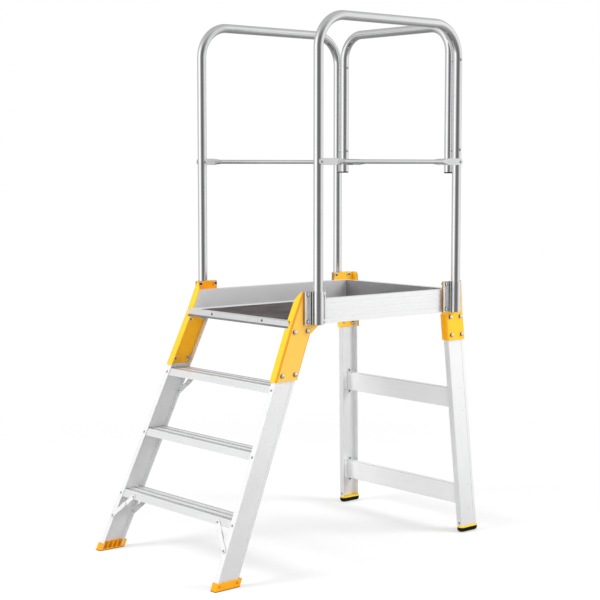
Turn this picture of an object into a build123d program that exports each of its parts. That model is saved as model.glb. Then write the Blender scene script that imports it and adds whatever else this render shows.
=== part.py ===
from build123d import *
import math
import os

# Access platform: a three-tread ladder, a railed deck and a splayed rear frame.
# Millimetres, +Z up, +X to the climber's right, the ladder faces -Y.
# The pieces are placed from the front posts' axis and moved to the middle at the end.

# Steps
step_rise = 225.0
tread_names = ("lower", "middle", "upper")
step_going = 100.0
ladder_flare = 28.0          # growth of the ladder's width over one rise
tread_wall = 3.0
tread_top_wall = 5.0
tread_apron = 25.0
tread_lip = 24.0
tread_rivet_drop = 13.0
tread_grooves = 4
groove_width = 9.0
groove_depth = 2.4

# Channel shared by the ladder stiles and the rear legs
channel_depth = 85.0
channel_flange = 25.0
channel_web = 3.5
channel_wall = 3.0
channel_lip = 13.0           # raised strip beside the shallow outer recess
channel_recess = 1.2
channel_round = 2.0
stile_reach = 91.0           # stile front ahead of the front posts at deck height
channel_clear = 11.0         # channel top below the side boards

# Rear frame
leg_rake = 3.5               # degrees
leg_splay = 3.0              # degrees
leg_lead = 19.0              # leg front ahead of the rear posts at the side boards' underside
crossbar_height = 77.0
crossbar_depth = 28.0
crossbar_wall = 2.5
crossbar_setback = 40.0      # crossbar front behind the leg front
crossbar_drop = 329.0        # upper crossbar's top below the deck
crossbar_low_height = 180.0  # lower crossbar's top above the floor
end_plate = 3.0
end_plate_lead = 18.0        # end plate ahead of the crossbar
end_plate_trail = 6.0        # end plate behind the crossbar
end_ear_radius = 7.5

# Platform
platform_width = 628.0
board_height = 90.0
board_depth = 28.0
board_wall = 2.5
board_above_deck = 73.0
board_groove_width = 4.0
board_groove_depth = 0.4
board_groove_shares = (0.2, 0.5, 0.8)
ledge_width = 20.0
ledge_wall = 3.0
deck_thickness = 12.0
deck_drop = 2.0              # deck surface below the nosing top
nosing_lead = 13.0           # nosing front ahead of the stile front
nosing_end_inset = 14.0      # nosing ends inside the platform's sides
nosing_wall = 3.0
nosing_height = 26.0
nosing_drip = 8.0            # set-back strip along the lower edge
nosing_setback = 1.6
nosing_top_depth = 35.0
nosing_lower_depth = 25.0
nosing_clear = 1.0           # room round the nosing's ends in the brackets
rear_board_lead = 2.0        # rear board's inner face ahead of the rear posts' axis
screw_port = 10.0
port_inset = 18.0            # screw ports from the rear board's edges
port_bite = 0.5              # screw ports sunk into the rear board's wall

# Guardrails
post_pitch = 717.0
tube_diameter = 35.0
tube_wall = 2.0
rail_height = 1110.0         # deck to the top of the rail
rail_bend = 122.0
rear_rail_bend = 100.0
rear_rail_gap = 7.0          # between a rear post and the rear rail's leg
rear_rail_tail = 40.0        # rear rail's legs below the midrails
rail_bolt_lift = 47.0        # lower joint bolts above the midrails
rail_bolt_drop = 148.0       # upper joint bolts below the rail's top
spacer_diameter = 16.0
midrail_height = 570.0
midrail_diameter = 16.0
midrail_flat = 72.0
midrail_taper = 35.0
midrail_taper_width = 20.0   # half way along the taper
midrail_taper_wall = 9.6
midrail_flat_width = 25.0
midrail_flat_wall = 3.5
midrail_end_radius = 12.5
cap_wall = 5.0
cap_plug = 15.0
cap_round = 1.7

# Rail clamps and their packers
clamp_socket_wall = 2.2
clamp_wall = 4.0
clamp_half_width = 48.0
clamp_height = 119.0         # down from the bracket's top
clamp_shoulder = 10.0
clamp_ridge = 3.0
clamp_ridge_width = 4.0
clamp_bolt_offset = 36.0
clamp_bolt_inset = 10.0      # bolt rows from the clamp's ends
packer_wall = 4.0
packer_margin = 3.0          # packer beyond the clamp, beside the boards

# Folded brackets and backing plates
plate = 5.0
front_flange = 35.0
rear_flange = 34.0
front_return = 24.0          # front bracket's flange behind the stile
bracket_top = 104.0          # above the deck
front_bracket_drop = 15.0    # bracket foot above the upper tread
rear_bracket_length = 113.0  # below the side boards
fold_gap = 1.0               # brackets turn upright this far above the channels
fold_margin = 0.5            # and the fold ends this far below the side boards
gusset_drop = 33.0
gusset_rise = 45.0           # gusset's sloping edge, ending behind the clamp
head_inset = 2.0             # bracket heads stop short of the clamps' edges
flange_taper = 34.0
flange_tip = 9.0
ear_round = 14.0
backing_wall = 4.0
backing_margin = 1.0
bracket_bolt_spread = 56.0
bracket_bolt_inset = 21.0    # from the bracket's foot and from the side boards

# Feet
boot_height = 28.0
boot_sole = 6.0
boot_wall = 4.0
boot_heel = 11.0             # boot wall behind the stile
boot_pockets = 4
boot_rib = 4.0
boot_round = 2.0
boot_rivet_bite = 8.0        # rivet's length in the boot's inner block
foot_rubber = 18.0
foot_collar = 6.0
foot_tongue_height = 25.0
foot_tongue_wall = 5.0
foot_tongue_setback = 7.0    # from the flange's free edge
foot_margin = 4.0
foot_heel = 8.0
foot_round = 14.0
foot_edge_round = 11.5

# Braces under the treads
brace_width = 20.0
brace_wall = 3.0
brace_reach = 84.0
brace_drop = 95.0
brace_joggle = 14.0
brace_top_drop = 15.0
brace_stile_inset = 17.0

# Fasteners and clearances
fit_gap = 0.2
over = 1.0                   # cuts run this far past the face they open
bolt_diameter = 8.0
bolt_head = 15.0
bolt_head_height = 4.5
nut_across = 13.0
nut_height = 6.5
bolt_tail = 2.5
hole_clearance = 0.6
rivet_diameter = 5.0
rivet_head = 9.5
rivet_head_height = 2.0
rivet_tail = 2.0
rivet_clearance = 0.3
rail_bolt_diameter = 6.0
rail_bolt_head = 12.0
rail_bolt_head_height = 4.0
tube_clearance = 0.3
screw_diameter = 4.5
screw_length = 26.0

# Levels and positions worked out from the sizes above
tread_levels = {name: step_rise * (index + 1) for index, name in enumerate(tread_names)}
deck_height = step_rise * (len(tread_names) + 1)
board_top = deck_height + board_above_deck
board_bottom = board_top - board_height
deck_top = deck_height - deck_drop
deck_bottom = deck_top - deck_thickness
bracket_top_z = deck_height + bracket_top
clamp_top = bracket_top_z
clamp_bottom = clamp_top - clamp_height
channel_top = board_bottom - channel_clear
joint_low = channel_top + fold_gap
joint_high = board_bottom - fold_margin
front_bracket_low = tread_levels["upper"] + front_bracket_drop
rear_bracket_low = board_bottom - rear_bracket_length
front_bolt_heights = (front_bracket_low + bracket_bolt_inset, board_bottom - bracket_bolt_inset)
rear_bolt_heights = (rear_bracket_low + bracket_bolt_inset, board_bottom - bracket_bolt_inset)
crossbar_tops = {"upper": deck_height - crossbar_drop, "lower": crossbar_low_height}
rail_top = deck_height + rail_height
tube_radius = tube_diameter / 2
rail_axis = rail_top - tube_radius
midrail_axis = deck_height + midrail_height
board_half = platform_width / 2
plate_face = board_half + plate
packer_face = plate_face + packer_wall
bore_radius = tube_radius + tube_clearance
socket_radius = bore_radius + clamp_socket_wall
post_x = packer_face + socket_radius
rear_leg_x = post_x - tube_diameter - rear_rail_gap
rear_board_front = post_pitch - rear_board_lead
rear_board_back = rear_board_front + board_depth
inner_half = board_half - board_depth
nosing_half = board_half - nosing_end_inset
far = 2 * rail_top           # larger than the whole object

lean = step_going / step_rise
slope = math.atan(lean)
ladder_front = -stile_reach - lean * deck_height
stile_splay = ladder_flare / 2 / step_rise
leg_lean = -math.tan(math.radians(leg_rake))
leg_side_lean = math.tan(math.radians(leg_splay))
leg_front = post_pitch - leg_lead - leg_lean * board_bottom


def member_frame(x_floor, y_floor, forward_lean, side_lean):
    along = Vector(-side_lean, forward_lean, 1).normalized()
    rearward = Vector(0, 1, -forward_lean).normalized()
    return Plane(origin=(x_floor, y_floor, 0), x_dir=rearward.cross(along), z_dir=along)


stile_frame = member_frame(board_half + stile_splay * board_bottom, ladder_front, lean, stile_splay)
ladder_frame = member_frame(0, ladder_front, lean, 0)
leg_floor_x = board_half + leg_side_lean * board_bottom
leg_frame = member_frame(leg_floor_x, leg_front, leg_lean, leg_side_lean)
rear_frame = member_frame(0, leg_front, leg_lean, 0)


def at_height(frame, across, depth, z):
    beside = frame.origin + frame.x_dir * across + frame.y_dir * depth
    return beside + frame.z_dir * ((z - beside.Z) / frame.z_dir.Z)


def slanted_y(frame, depth, z):
    return at_height(frame, 0, depth, z).Y


def stile_x(z):
    return at_height(stile_frame, 0, 0, z).X


def slab(low, high):
    return Pos(0, 0, (low + high) / 2) * Box(far, far, high - low)


def span(x_low, x_high, y_low, y_high):
    return Pos((x_low + x_high) / 2, (y_low + y_high) / 2) * Rectangle(x_high - x_low, y_high - y_low)


def block(x_low, x_high, y_low, y_high, z_low, z_high):
    middle = Pos((x_low + x_high) / 2, (y_low + y_high) / 2, (z_low + z_high) / 2)
    return middle * Box(x_high - x_low, y_high - y_low, z_high - z_low)


def run_along(frame, face, low, high):
    # A section drawn across the member, run along it and cut level at both ends
    start = frame.offset(-far / 2)
    return extrude(start * face, amount=far, dir=frame.z_dir) & slab(low, high)


def side_sheet(points, x_low, x_high):
    # An outline of (y, z) points in a fore-and-aft plane
    outline = make_face(Polyline(*[(x_low, y, z) for y, z in points], close=True))
    return extrude(outline, amount=x_high - x_low, dir=(1, 0, 0))


def sloped_face(frame, depth):
    # Drawing plane in a sloping frame: x across, y up the slope
    origin = frame.origin + frame.y_dir * depth
    return Plane(origin=origin, x_dir=(1, 0, 0), z_dir=-frame.y_dir)


def up_slope(frame, depth, z):
    return (z + depth * -frame.y_dir.Z) / frame.z_dir.Z


def other_side(shape):
    return mirror(shape, about=Plane.YZ)


def dome(diameter, height):
    radius = diameter / 2
    ball = (radius**2 + height**2) / (2 * height)
    cap = Pos(0, 0, height / 2) * Box(diameter, diameter, height)
    return Pos(0, 0, height - ball) * Sphere(ball) & cap


def rod(diameter, low, high):
    return Pos(0, 0, (low + high) / 2) * Cylinder(diameter / 2, high - low)


def bolt(diameter, head, head_height, length):
    return dome(head, head_height) + rod(diameter, -length, 0)


def nut(diameter):
    prism = extrude(RegularPolygon(nut_across / 2, 6, major_radius=False), amount=-nut_height)
    return prism - rod(diameter + rivet_clearance, -nut_height, 0)


def rivet(grip):
    tail = rod(rivet_diameter + rivet_tail, -grip - rivet_tail, -grip)
    return dome(rivet_head, rivet_head_height) + rod(rivet_diameter, -grip, 0) + tail


def facing(point, direction):
    return Plane(origin=point, z_dir=direction).location


def drill(spot, diameter, depth):
    return spot * rod(diameter, -depth, depth)


# Ladder and rear leg channels
def channel_section():
    section = span(-channel_flange, 0, 0, channel_depth)
    section = fillet(section.vertices().group_by(Axis.X)[-1], channel_round)
    section -= span(-channel_flange - over, -channel_web, channel_wall, channel_depth - channel_wall)
    section -= span(-channel_recess, over, channel_lip, channel_depth - channel_lip)
    return section


def bolt_spots(frame, heights):
    # Bolt heads on a bracket's outer face, two at each height
    middle = channel_depth / 2
    for z in heights:
        for depth in (middle - bracket_bolt_spread / 2, middle + bracket_bolt_spread / 2):
            yield facing(at_height(frame, fit_gap + plate, depth, z), frame.x_dir)


bracket_grip = plate + fit_gap + channel_web + fit_gap + backing_wall
front_bolt_spots = list(bolt_spots(stile_frame, front_bolt_heights))
rear_bolt_spots = list(bolt_spots(leg_frame, rear_bolt_heights))


def with_bolt_holes(shape, spots):
    for spot in spots:
        shape -= drill(spot, bolt_diameter + hole_clearance, 2 * bracket_grip)
    return shape


tread_front = channel_wall + fit_gap
tread_back = channel_depth - channel_wall - fit_gap
tread_grip = channel_wall + fit_gap + tread_wall


def tread_rivet_spots(level):
    z = level - tread_rivet_drop
    middle = -channel_flange / 2
    yield facing(at_height(stile_frame, middle, 0, z), -stile_frame.y_dir)
    yield facing(at_height(stile_frame, middle, channel_depth, z), stile_frame.y_dir)


tread_spots = [spot for level in tread_levels.values() for spot in tread_rivet_spots(level)]


# Braces: joggled straps from a tread's edge down to the stile's flange
def brace_layers(front):
    # Depths of the strap's two halves, on the tread's edge and on the stile's flange
    if front:
        return (tread_front - brace_wall, tread_front), (-fit_gap - brace_wall, -fit_gap)
    outside = channel_depth + fit_gap
    return (tread_back, tread_back + brace_wall), (outside, outside + brace_wall)


def brace_ends(level):
    z_low = level - brace_drop
    x_low = stile_x(z_low) - brace_stile_inset
    return (x_low - brace_reach, level - brace_top_drop), (x_low, z_low)


def strap(start, end, width, low, high):
    # A flat bar with round ends, low and high being its depths in the ladder
    face = sloped_face(ladder_frame, high)
    (x_a, z_a), (x_b, z_b) = start, end
    y_a = up_slope(ladder_frame, high, z_a)
    y_b = up_slope(ladder_frame, high, z_b)
    length = math.hypot(x_b - x_a, y_b - y_a)
    turn = math.degrees(math.atan2(y_b - y_a, x_b - x_a))
    middle = Pos((x_a + x_b) / 2, (y_a + y_b) / 2)
    outline = middle * Rot(0, 0, turn) * SlotCenterToCenter(length, width)
    return extrude(face * outline, amount=high - low)


def between(start, end, share):
    return tuple(a + (b - a) * share for a, b in zip(start, end))


def brace_spots(level, front):
    outward = -ladder_frame.y_dir if front else ladder_frame.y_dir
    for (x, z), layer in zip(brace_ends(level), brace_layers(front)):
        depth = layer[0] if front else layer[1]
        yield facing(at_height(ladder_frame, x, depth, z), outward)


def brace(level, front):
    upper, lower = brace_layers(front)
    top, foot = brace_ends(level)
    joggle = brace_joggle / math.hypot(brace_reach, brace_drop)
    shape = strap(top, between(top, foot, 0.5), brace_width, *upper)
    shape += strap(between(top, foot, 0.5), foot, brace_width, *lower)
    deepest = (min(upper[0], lower[0]), max(upper[1], lower[1]))
    middle = (between(top, foot, 0.5 - joggle / 2), between(top, foot, 0.5 + joggle / 2))
    shape += strap(*middle, brace_width, *deepest)
    for spot in brace_spots(level, front):
        shape -= drill(spot, rivet_diameter + rivet_clearance, 2 * tread_grip)
    return shape


brace_plan = {
    "brace_front": (tread_levels["lower"], True),
    "brace_rear": (tread_levels["lower"], False),
    "brace_upper": (tread_levels["upper"], False),
}
brace_rivet_spots = [spot for level, front in brace_plan.values() for spot in brace_spots(level, front)]


def tread(level):
    cos_slope = math.cos(slope)

    def y_at(depth, z):
        return ladder_front + lean * z + depth / cos_slope

    front, back = tread_front, tread_back
    inner_front, inner_back = front + tread_wall, back - tread_wall
    apron, lip, under = level - tread_apron, level - tread_lip, level - tread_top_wall
    below = level - tread_apron - tread_lip
    half = stile_x(below)
    shell = [(y_at(front, level), level), (y_at(back, level), level)]
    shell += [(y_at(back, lip), lip), (y_at(front, apron), apron)]
    hollow = [(y_at(inner_front, under), under), (y_at(inner_back, under), under)]
    hollow += [(y_at(inner_back, below), below), (y_at(inner_front, below), below)]
    shape = side_sheet(shell, -half, half) - side_sheet(hollow, -half, half)
    pitch = (back - front) / cos_slope / (tread_grooves + 1)
    for index in range(tread_grooves):
        middle = y_at(front, level) + pitch * (index + 1)
        low = level - groove_depth
        near, away = middle - groove_width / 2, middle + groove_width / 2
        shape -= block(-half, half, near, away, low, level + over)
    beside = span(-channel_web - fit_gap, channel_depth, -channel_depth, 2 * channel_depth)
    wall = run_along(stile_frame, beside, below, level + over)
    shape -= [wall, other_side(wall)]
    spots = list(tread_rivet_spots(level))
    spots += [next(brace_spots(level, front)) for at, front in brace_plan.values() if at == level]
    for spot in spots:
        hole = drill(spot, rivet_diameter + rivet_clearance, tread_grip)
        shape -= [hole, other_side(hole)]
    return shape


# Front boots, wrapped round the stiles' feet
boot_middle = (boot_height + boot_sole) / 2
boot_grip = boot_wall + fit_gap + channel_web
boot_rivet_depths = (channel_lip / 2, channel_depth - channel_lip / 2)
boot_spots = [
    facing(at_height(stile_frame, fit_gap + boot_wall, depth, boot_middle), stile_frame.x_dir)
    for depth in boot_rivet_depths
]
plug_back = -channel_web - fit_gap
plug_low = channel_wall + fit_gap
plug_high = channel_depth - channel_wall - fit_gap
boot_rivet_length = boot_grip + boot_rivet_bite


def boot():
    out = fit_gap + boot_wall
    section = span(-channel_flange, out, -out, channel_depth + fit_gap + boot_heel)
    section = fillet(section.vertices().group_by(Axis.X)[-1], boot_round)
    mouth = -channel_flange - over
    socket = span(mouth, fit_gap, -fit_gap, channel_depth + fit_gap)
    socket -= span(mouth, plug_back, plug_low, plug_high)
    shape = run_along(stile_frame, section, 0, boot_height)
    shape -= run_along(stile_frame, socket, boot_sole, boot_height + over)
    pitch = (plug_high - plug_low - boot_rib) / boot_pockets
    for index in range(boot_pockets):
        low = plug_low + boot_rib + pitch * index
        pocket = span(mouth, plug_back - boot_rib, low, low + pitch - boot_rib)
        shape -= run_along(stile_frame, pocket, boot_sole, boot_height + over)
    for spot in boot_spots:
        shape -= drill(spot, rivet_diameter + rivet_clearance, boot_rivet_length)
    return shape


def stile():
    shape = run_along(stile_frame, channel_section(), boot_sole, channel_top)
    shape = with_bolt_holes(shape, front_bolt_spots)
    spots = tread_spots + boot_spots + brace_rivet_spots
    for spot in spots:
        shape -= drill(spot, rivet_diameter + rivet_clearance, tread_grip + boot_grip)
    return shape


def backing(frame, low, high, spots):
    near, away = plug_low + backing_margin, plug_high - backing_margin
    section = span(plug_back - backing_wall, plug_back, near, away)
    return with_bolt_holes(run_along(frame, section, low, high), spots)


# Rail clamps, packers and their bolts, in each post's own place
post_places = {"front": 0.0, "rear": post_pitch}
packer_wide_top = {"front": clamp_top, "rear": board_top}
clamp_rows = (clamp_bottom + clamp_bolt_inset, clamp_top - clamp_bolt_inset)
head_reach = clamp_half_width - head_inset


def clamp_spots(post_y):
    for z in clamp_rows:
        for side in (-1, 1):
            point = Vector(packer_face + clamp_wall, post_y + side * clamp_bolt_offset, z)
            yield facing(point, Vector(1, 0, 0))


clamp_grip = clamp_wall + packer_wall + plate


def with_clamp_holes(shape, post_y):
    for spot in clamp_spots(post_y):
        shape -= drill(spot, bolt_diameter + hole_clearance, 2 * clamp_grip)
    return shape


def clamp(post_y):
    base = span(packer_face, packer_face + clamp_wall, -clamp_half_width, clamp_half_width)
    base += span(packer_face, packer_face + clamp_shoulder, -socket_radius, socket_radius)
    base += Pos(post_x, 0) * Circle(socket_radius)
    raised = packer_face + clamp_wall + clamp_ridge
    inner_ridge = clamp_bolt_offset - bolt_head / 2 - clamp_ridge_width - fit_gap
    for edge in (inner_ridge, clamp_half_width - clamp_ridge_width):
        base += span(packer_face, raised, edge, edge + clamp_ridge_width)
        base += span(packer_face, raised, -edge - clamp_ridge_width, -edge)
    base -= Pos(post_x, 0) * Circle(bore_radius)
    shape = Pos(0, post_y, clamp_bottom) * extrude(base, amount=clamp_height)
    return with_clamp_holes(shape, post_y)


def packer(post_y, wide_top):
    # Wide up to one height, then as narrow as the rear bracket's head
    reach = clamp_half_width + packer_margin
    low = max(clamp_bottom, board_bottom)
    shape = block(plate_face, packer_face, post_y - reach, post_y + reach, low, wide_top)
    if wide_top < clamp_top:
        shape += block(plate_face, packer_face, post_y - head_reach, post_y + head_reach, low, clamp_top)
    return with_clamp_holes(shape, post_y)


# Front bracket: a channel round the stile's head, turned up beside the deck
wrap = fit_gap + plate


def front_flange_sheet():
    low, high = front_bracket_low, bracket_top_z
    face = sloped_face(ladder_frame, -fit_gap)

    def spot(x, z):
        return x, up_slope(ladder_frame, -fit_gap, z)

    foot_out = at_height(stile_frame, wrap, -fit_gap, low).X
    bend = board_bottom
    outline = [spot(foot_out, low), spot(plate_face, bend), spot(plate_face, high)]
    inner = plate_face - front_flange
    outline += [spot(plate_face - flange_tip, high), spot(inner, high - flange_taper)]
    outline += [spot(inner, bend), spot(foot_out - front_flange, low)]
    sheet = extrude(face * make_face(Polyline(*outline, close=True)), amount=plate)
    notch_low, notch_high = deck_height - nosing_height - nosing_clear, deck_height + nosing_clear
    half = nosing_half + nosing_clear
    return sheet - block(-half, half, ladder_front, post_pitch, notch_low, notch_high)


def front_bracket():
    web = span(fit_gap, wrap, -wrap, channel_depth + wrap)
    shape = run_along(stile_frame, web, front_bracket_low, joint_high)
    back = span(wrap - front_return, wrap, channel_depth + fit_gap, channel_depth + wrap)
    gusset_low = board_bottom - gusset_drop
    shape += run_along(stile_frame, back, front_bracket_low, gusset_low)
    shape += front_flange_sheet()
    edge = channel_depth + fit_gap
    gusset_foot = slanted_y(ladder_frame, edge + plate, gusset_low)

    def gusset_y(z):
        return gusset_foot + (head_reach - gusset_foot) * (z - gusset_low) / gusset_rise

    tip_front = slanted_y(ladder_frame, -wrap, bracket_top_z)
    root_front = slanted_y(ladder_frame, -wrap, joint_low)
    head = [(root_front, joint_low), (tip_front, bracket_top_z), (head_reach, bracket_top_z)]
    head += [(head_reach, gusset_low + gusset_rise), (gusset_y(joint_low), joint_low)]
    shape += side_sheet(head, board_half, plate_face)
    fin = [(slanted_y(ladder_frame, edge, gusset_low), gusset_low)]
    fin += [(slanted_y(ladder_frame, edge, joint_high), joint_high)]
    fin += [(gusset_y(joint_high), joint_high), (gusset_foot, gusset_low)]
    shape += side_sheet(fin, board_half, plate_face)
    shape = with_clamp_holes(shape, post_places["front"])
    return with_bolt_holes(shape, front_bolt_spots)


# Rear bracket: a channel round the leg's head with a full-height rear ear
def rear_bracket():
    web = span(fit_gap, wrap, -wrap, channel_depth + wrap)
    shape = run_along(leg_frame, web, rear_bracket_low, joint_high)
    lead = span(wrap - rear_flange, wrap, -wrap, -fit_gap)
    shape += run_along(leg_frame, lead, rear_bracket_low, channel_top)
    trail = span(wrap - rear_flange, wrap, channel_depth + fit_gap, channel_depth + wrap)
    shape += run_along(leg_frame, trail, rear_bracket_low, joint_high)
    front = post_places["rear"] - head_reach
    head = [(front, joint_low), (front, bracket_top_z)]
    for z in (bracket_top_z, joint_low):
        head.append((slanted_y(rear_frame, channel_depth + wrap, z), z))
    shape += side_sheet(head, board_half, plate_face)
    depth = channel_depth + wrap
    low, high = up_slope(rear_frame, depth, joint_low), up_slope(rear_frame, depth, bracket_top_z)
    ear = span(plate_face - rear_flange, plate_face, low, high)
    corner = ear.vertices().sort_by(Axis.Y)[-2:].sort_by(Axis.X)[0]
    ear = fillet(corner, ear_round)
    ear = extrude(sloped_face(rear_frame, depth) * ear, amount=plate)
    shape += ear & slab(joint_low, bracket_top_z)
    shape = with_clamp_holes(shape, post_places["rear"])
    return with_bolt_holes(shape, rear_bolt_spots)


# Crossbars: box sections between the legs' webs, with riveted end plates
crossbar_middle = crossbar_setback + crossbar_depth / 2
crossbar_grip = channel_web - channel_recess + fit_gap + end_plate


def crossbar_ends(top):
    return top + end_ear_radius, top - crossbar_height - end_ear_radius


def crossbar_spots(top):
    for z in crossbar_ends(top):
        point = at_height(leg_frame, -channel_recess, crossbar_middle, z)
        yield facing(point, leg_frame.x_dir)


def crossbar(top):
    low = top - crossbar_height
    front, back = crossbar_setback, crossbar_setback + crossbar_depth
    half = at_height(leg_frame, 0, 0, low).X

    def solid_bar(inset):
        y_low, y_high = front + inset, back - inset
        z_low, z_high = low + inset, top - inset
        corners = ((y_low, z_low), (y_low, z_high), (y_high, z_high), (y_high, z_low))
        return side_sheet([(slanted_y(rear_frame, y, z), z) for y, z in corners], -half, half)

    bar = solid_bar(0) - solid_bar(crossbar_wall)
    inside = -channel_web - fit_gap
    beyond = span(inside - end_plate / 2, channel_depth, -channel_depth, 2 * channel_depth)
    trim = run_along(leg_frame, beyond, low - over, top + over)
    bar -= [trim, other_side(trim)]
    foot = span(inside - end_plate, inside, front - end_plate_lead, back + end_plate_trail)
    tab = run_along(leg_frame, foot, low, top)
    near, away = crossbar_middle - end_ear_radius, crossbar_middle + end_ear_radius
    ear = span(inside - end_plate, inside, near, away)
    tab += run_along(leg_frame, ear, low - 2 * end_ear_radius, top + 2 * end_ear_radius)
    for spot in crossbar_spots(top):
        tab -= drill(spot, rivet_diameter + rivet_clearance, 2 * crossbar_grip)
    return bar + tab + other_side(tab)


# Rear feet: a yellow collar with a tongue behind the leg's front flange, on a rounded rubber shoe
leg_low = foot_rubber + foot_collar
foot_middle = (channel_depth + foot_heel - foot_margin) / 2
foot_centre = at_height(leg_frame, -channel_flange / 2, foot_middle, foot_rubber)
foot_width = channel_flange + 2 * foot_margin
foot_length = channel_depth + foot_margin + foot_heel
leg_rivet_z = leg_low + foot_tongue_height / 2
leg_spot = facing(at_height(leg_frame, -channel_flange / 2, 0, leg_rivet_z), -leg_frame.y_dir)
leg_rivet_grip = channel_wall + fit_gap + foot_tongue_wall


def foot_shoe():
    plan = RectangleRounded(foot_width, foot_length, foot_round)
    shoe = extrude(plan, amount=-foot_rubber)
    shoe = fillet(shoe.faces().sort_by(Axis.Z)[0].edges(), foot_edge_round)
    return Pos(foot_centre.X, foot_centre.Y, foot_rubber) * shoe


def collar():
    plan = RectangleRounded(foot_width, foot_length, foot_round)
    shape = Pos(foot_centre.X, foot_centre.Y, foot_rubber) * extrude(plan, amount=foot_collar)
    inside = -channel_flange + foot_tongue_setback
    tongue = span(inside, plug_back, plug_low, plug_low + foot_tongue_wall)
    shape += run_along(leg_frame, tongue, leg_low, leg_low + foot_tongue_height)
    return shape - drill(leg_spot, rivet_diameter + rivet_clearance, leg_rivet_grip)


def rear_leg():
    shape = run_along(leg_frame, channel_section(), leg_low, channel_top)
    shape = with_bolt_holes(shape, rear_bolt_spots)
    for top in crossbar_tops.values():
        for spot in crossbar_spots(top):
            shape -= drill(spot, rivet_diameter + rivet_clearance, 2 * crossbar_grip)
    return shape - drill(leg_spot, rivet_diameter + rivet_clearance, leg_rivet_grip)


# Deck, nosing and boards
nosing_front = -stile_reach - nosing_lead
deck_front = nosing_front + nosing_wall + fit_gap
nosing_screw_x = nosing_half / 2
nosing_screw_z = deck_top - deck_thickness / 2
port_levels = (board_bottom + port_inset, board_top - port_inset)
port_y = rear_board_back - board_wall - screw_port / 2 + port_bite
board_screw_spots = [
    facing(Vector(inner_half + board_wall, port_y, z), Vector(1, 0, 0)) for z in port_levels
]
nosing_spots = [
    facing(Vector(x, nosing_front, nosing_screw_z), Vector(0, -1, 0))
    for x in (-nosing_screw_x, nosing_screw_x)
]


def board_section():
    # Hollow board with a deck ledge on its inner side, drawn with its outer face at zero
    section = span(-board_depth, 0, 0, board_height)
    section -= span(-board_depth + board_wall, -board_wall, board_wall, board_height - board_wall)
    section += span(-board_depth - ledge_width, -board_depth + board_wall, 0, ledge_wall)
    for share in board_groove_shares:
        low = board_height * share - board_groove_width / 2
        section -= span(-board_groove_depth, over, low, low + board_groove_width)
    return section


def side_board():
    corner = (board_half, rear_board_back, board_bottom)
    draw = Plane(origin=corner, x_dir=(1, 0, 0), z_dir=(0, -1, 0))
    length = rear_board_back - ladder_front
    shape = extrude(draw * board_section(), amount=length)
    ahead = span(0, board_half + over, -length, fit_gap)
    shape -= run_along(ladder_frame, ahead, board_bottom - over, board_top + over)
    ledge_end, ledge_top = rear_board_front - ledge_width - fit_gap, board_bottom + ledge_wall
    back = rear_board_back + over
    shape -= block(0, inner_half, ledge_end, back, board_bottom - over, ledge_top + over)
    for post_y in post_places.values():
        shape = with_clamp_holes_in_board(shape, post_y)
    for spot in board_screw_spots:
        shape -= drill(spot, screw_diameter + rivet_clearance, screw_length)
        shape -= spot * rod(nut_across, 0, board_depth)
    return shape


def with_clamp_holes_in_board(shape, post_y):
    # Only the outer wall is drilled: the nuts sit inside the hollow
    for spot in clamp_spots(post_y):
        depth = clamp_grip + board_wall + over
        shape -= spot * rod(bolt_diameter + hole_clearance, -depth, 0)
    return shape


def rear_board():
    draw = Plane(origin=(0, rear_board_back, board_bottom), x_dir=(0, 1, 0), z_dir=(1, 0, 0))
    section = board_section()
    for z in port_levels:
        section += Pos(port_y - rear_board_back, z - board_bottom) * Circle(screw_port / 2)
    for z in port_levels:
        hole = Circle((screw_diameter + rivet_clearance) / 2)
        section -= Pos(port_y - rear_board_back, z - board_bottom) * hole
    half = inner_half - fit_gap
    return extrude(draw.offset(-half) * section, amount=2 * half)


def deck():
    half = inner_half - fit_gap
    shape = block(-half, half, deck_front, rear_board_front - fit_gap, deck_bottom, deck_top)
    for spot in nosing_spots:
        shape -= drill(spot, screw_diameter + rivet_clearance, screw_length + over)
    return shape


def nosing():
    foot, low = deck_height - nosing_height, deck_bottom - fit_gap - nosing_wall
    half, end = inner_half - fit_gap, nosing_half
    under = inner_half - ledge_width - fit_gap
    drip_top, drip_front = foot + nosing_drip, nosing_front + nosing_setback
    shape = block(-end, end, nosing_front, nosing_front + nosing_wall, drip_top, deck_height)
    shape += block(-end, end, drip_front, nosing_front + nosing_wall, foot, deck_height)
    top_low = deck_top + fit_gap
    shape += block(-half, half, nosing_front, nosing_front + nosing_top_depth, top_low, deck_height)
    shape += block(-under, under, nosing_front, nosing_front + nosing_lower_depth, low, low + nosing_wall)
    for spot in nosing_spots:
        shape -= drill(spot, screw_diameter + rivet_clearance, nosing_wall + over)
    return shape


def screw(length):
    return dome(rivet_head, rivet_head_height) + rod(screw_diameter, -length, 0)


# Guardrails
def bent_tube(path):
    ring = Circle(tube_radius) - Circle(tube_radius - tube_wall)
    return sweep(Plane(origin=path @ 0, z_dir=path % 0) * ring, path=path)


rail_bolt_levels = (midrail_axis + rail_bolt_lift, rail_top - rail_bolt_drop)
rail_joint_length = post_x - rear_leg_x + tube_diameter
rail_joint_spots = [
    facing(Vector(post_x + tube_radius + tube_clearance / 2, post_pitch, z), Vector(1, 0, 0))
    for z in rail_bolt_levels
]
midrail_x = post_x + tube_radius + fit_gap + midrail_flat_wall / 2
midrail_rear_y = post_pitch + tube_radius + fit_gap + midrail_flat_wall / 2
midrail_side_spots = [
    facing(Vector(midrail_x + midrail_flat_wall / 2, y, midrail_axis), Vector(1, 0, 0))
    for y in post_places.values()
]
midrail_rear_spot = facing(
    Vector(rear_leg_x, midrail_rear_y + midrail_flat_wall / 2, midrail_axis), Vector(0, 1, 0)
)
midrail_grip = midrail_flat_wall + fit_gap + tube_diameter


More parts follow.
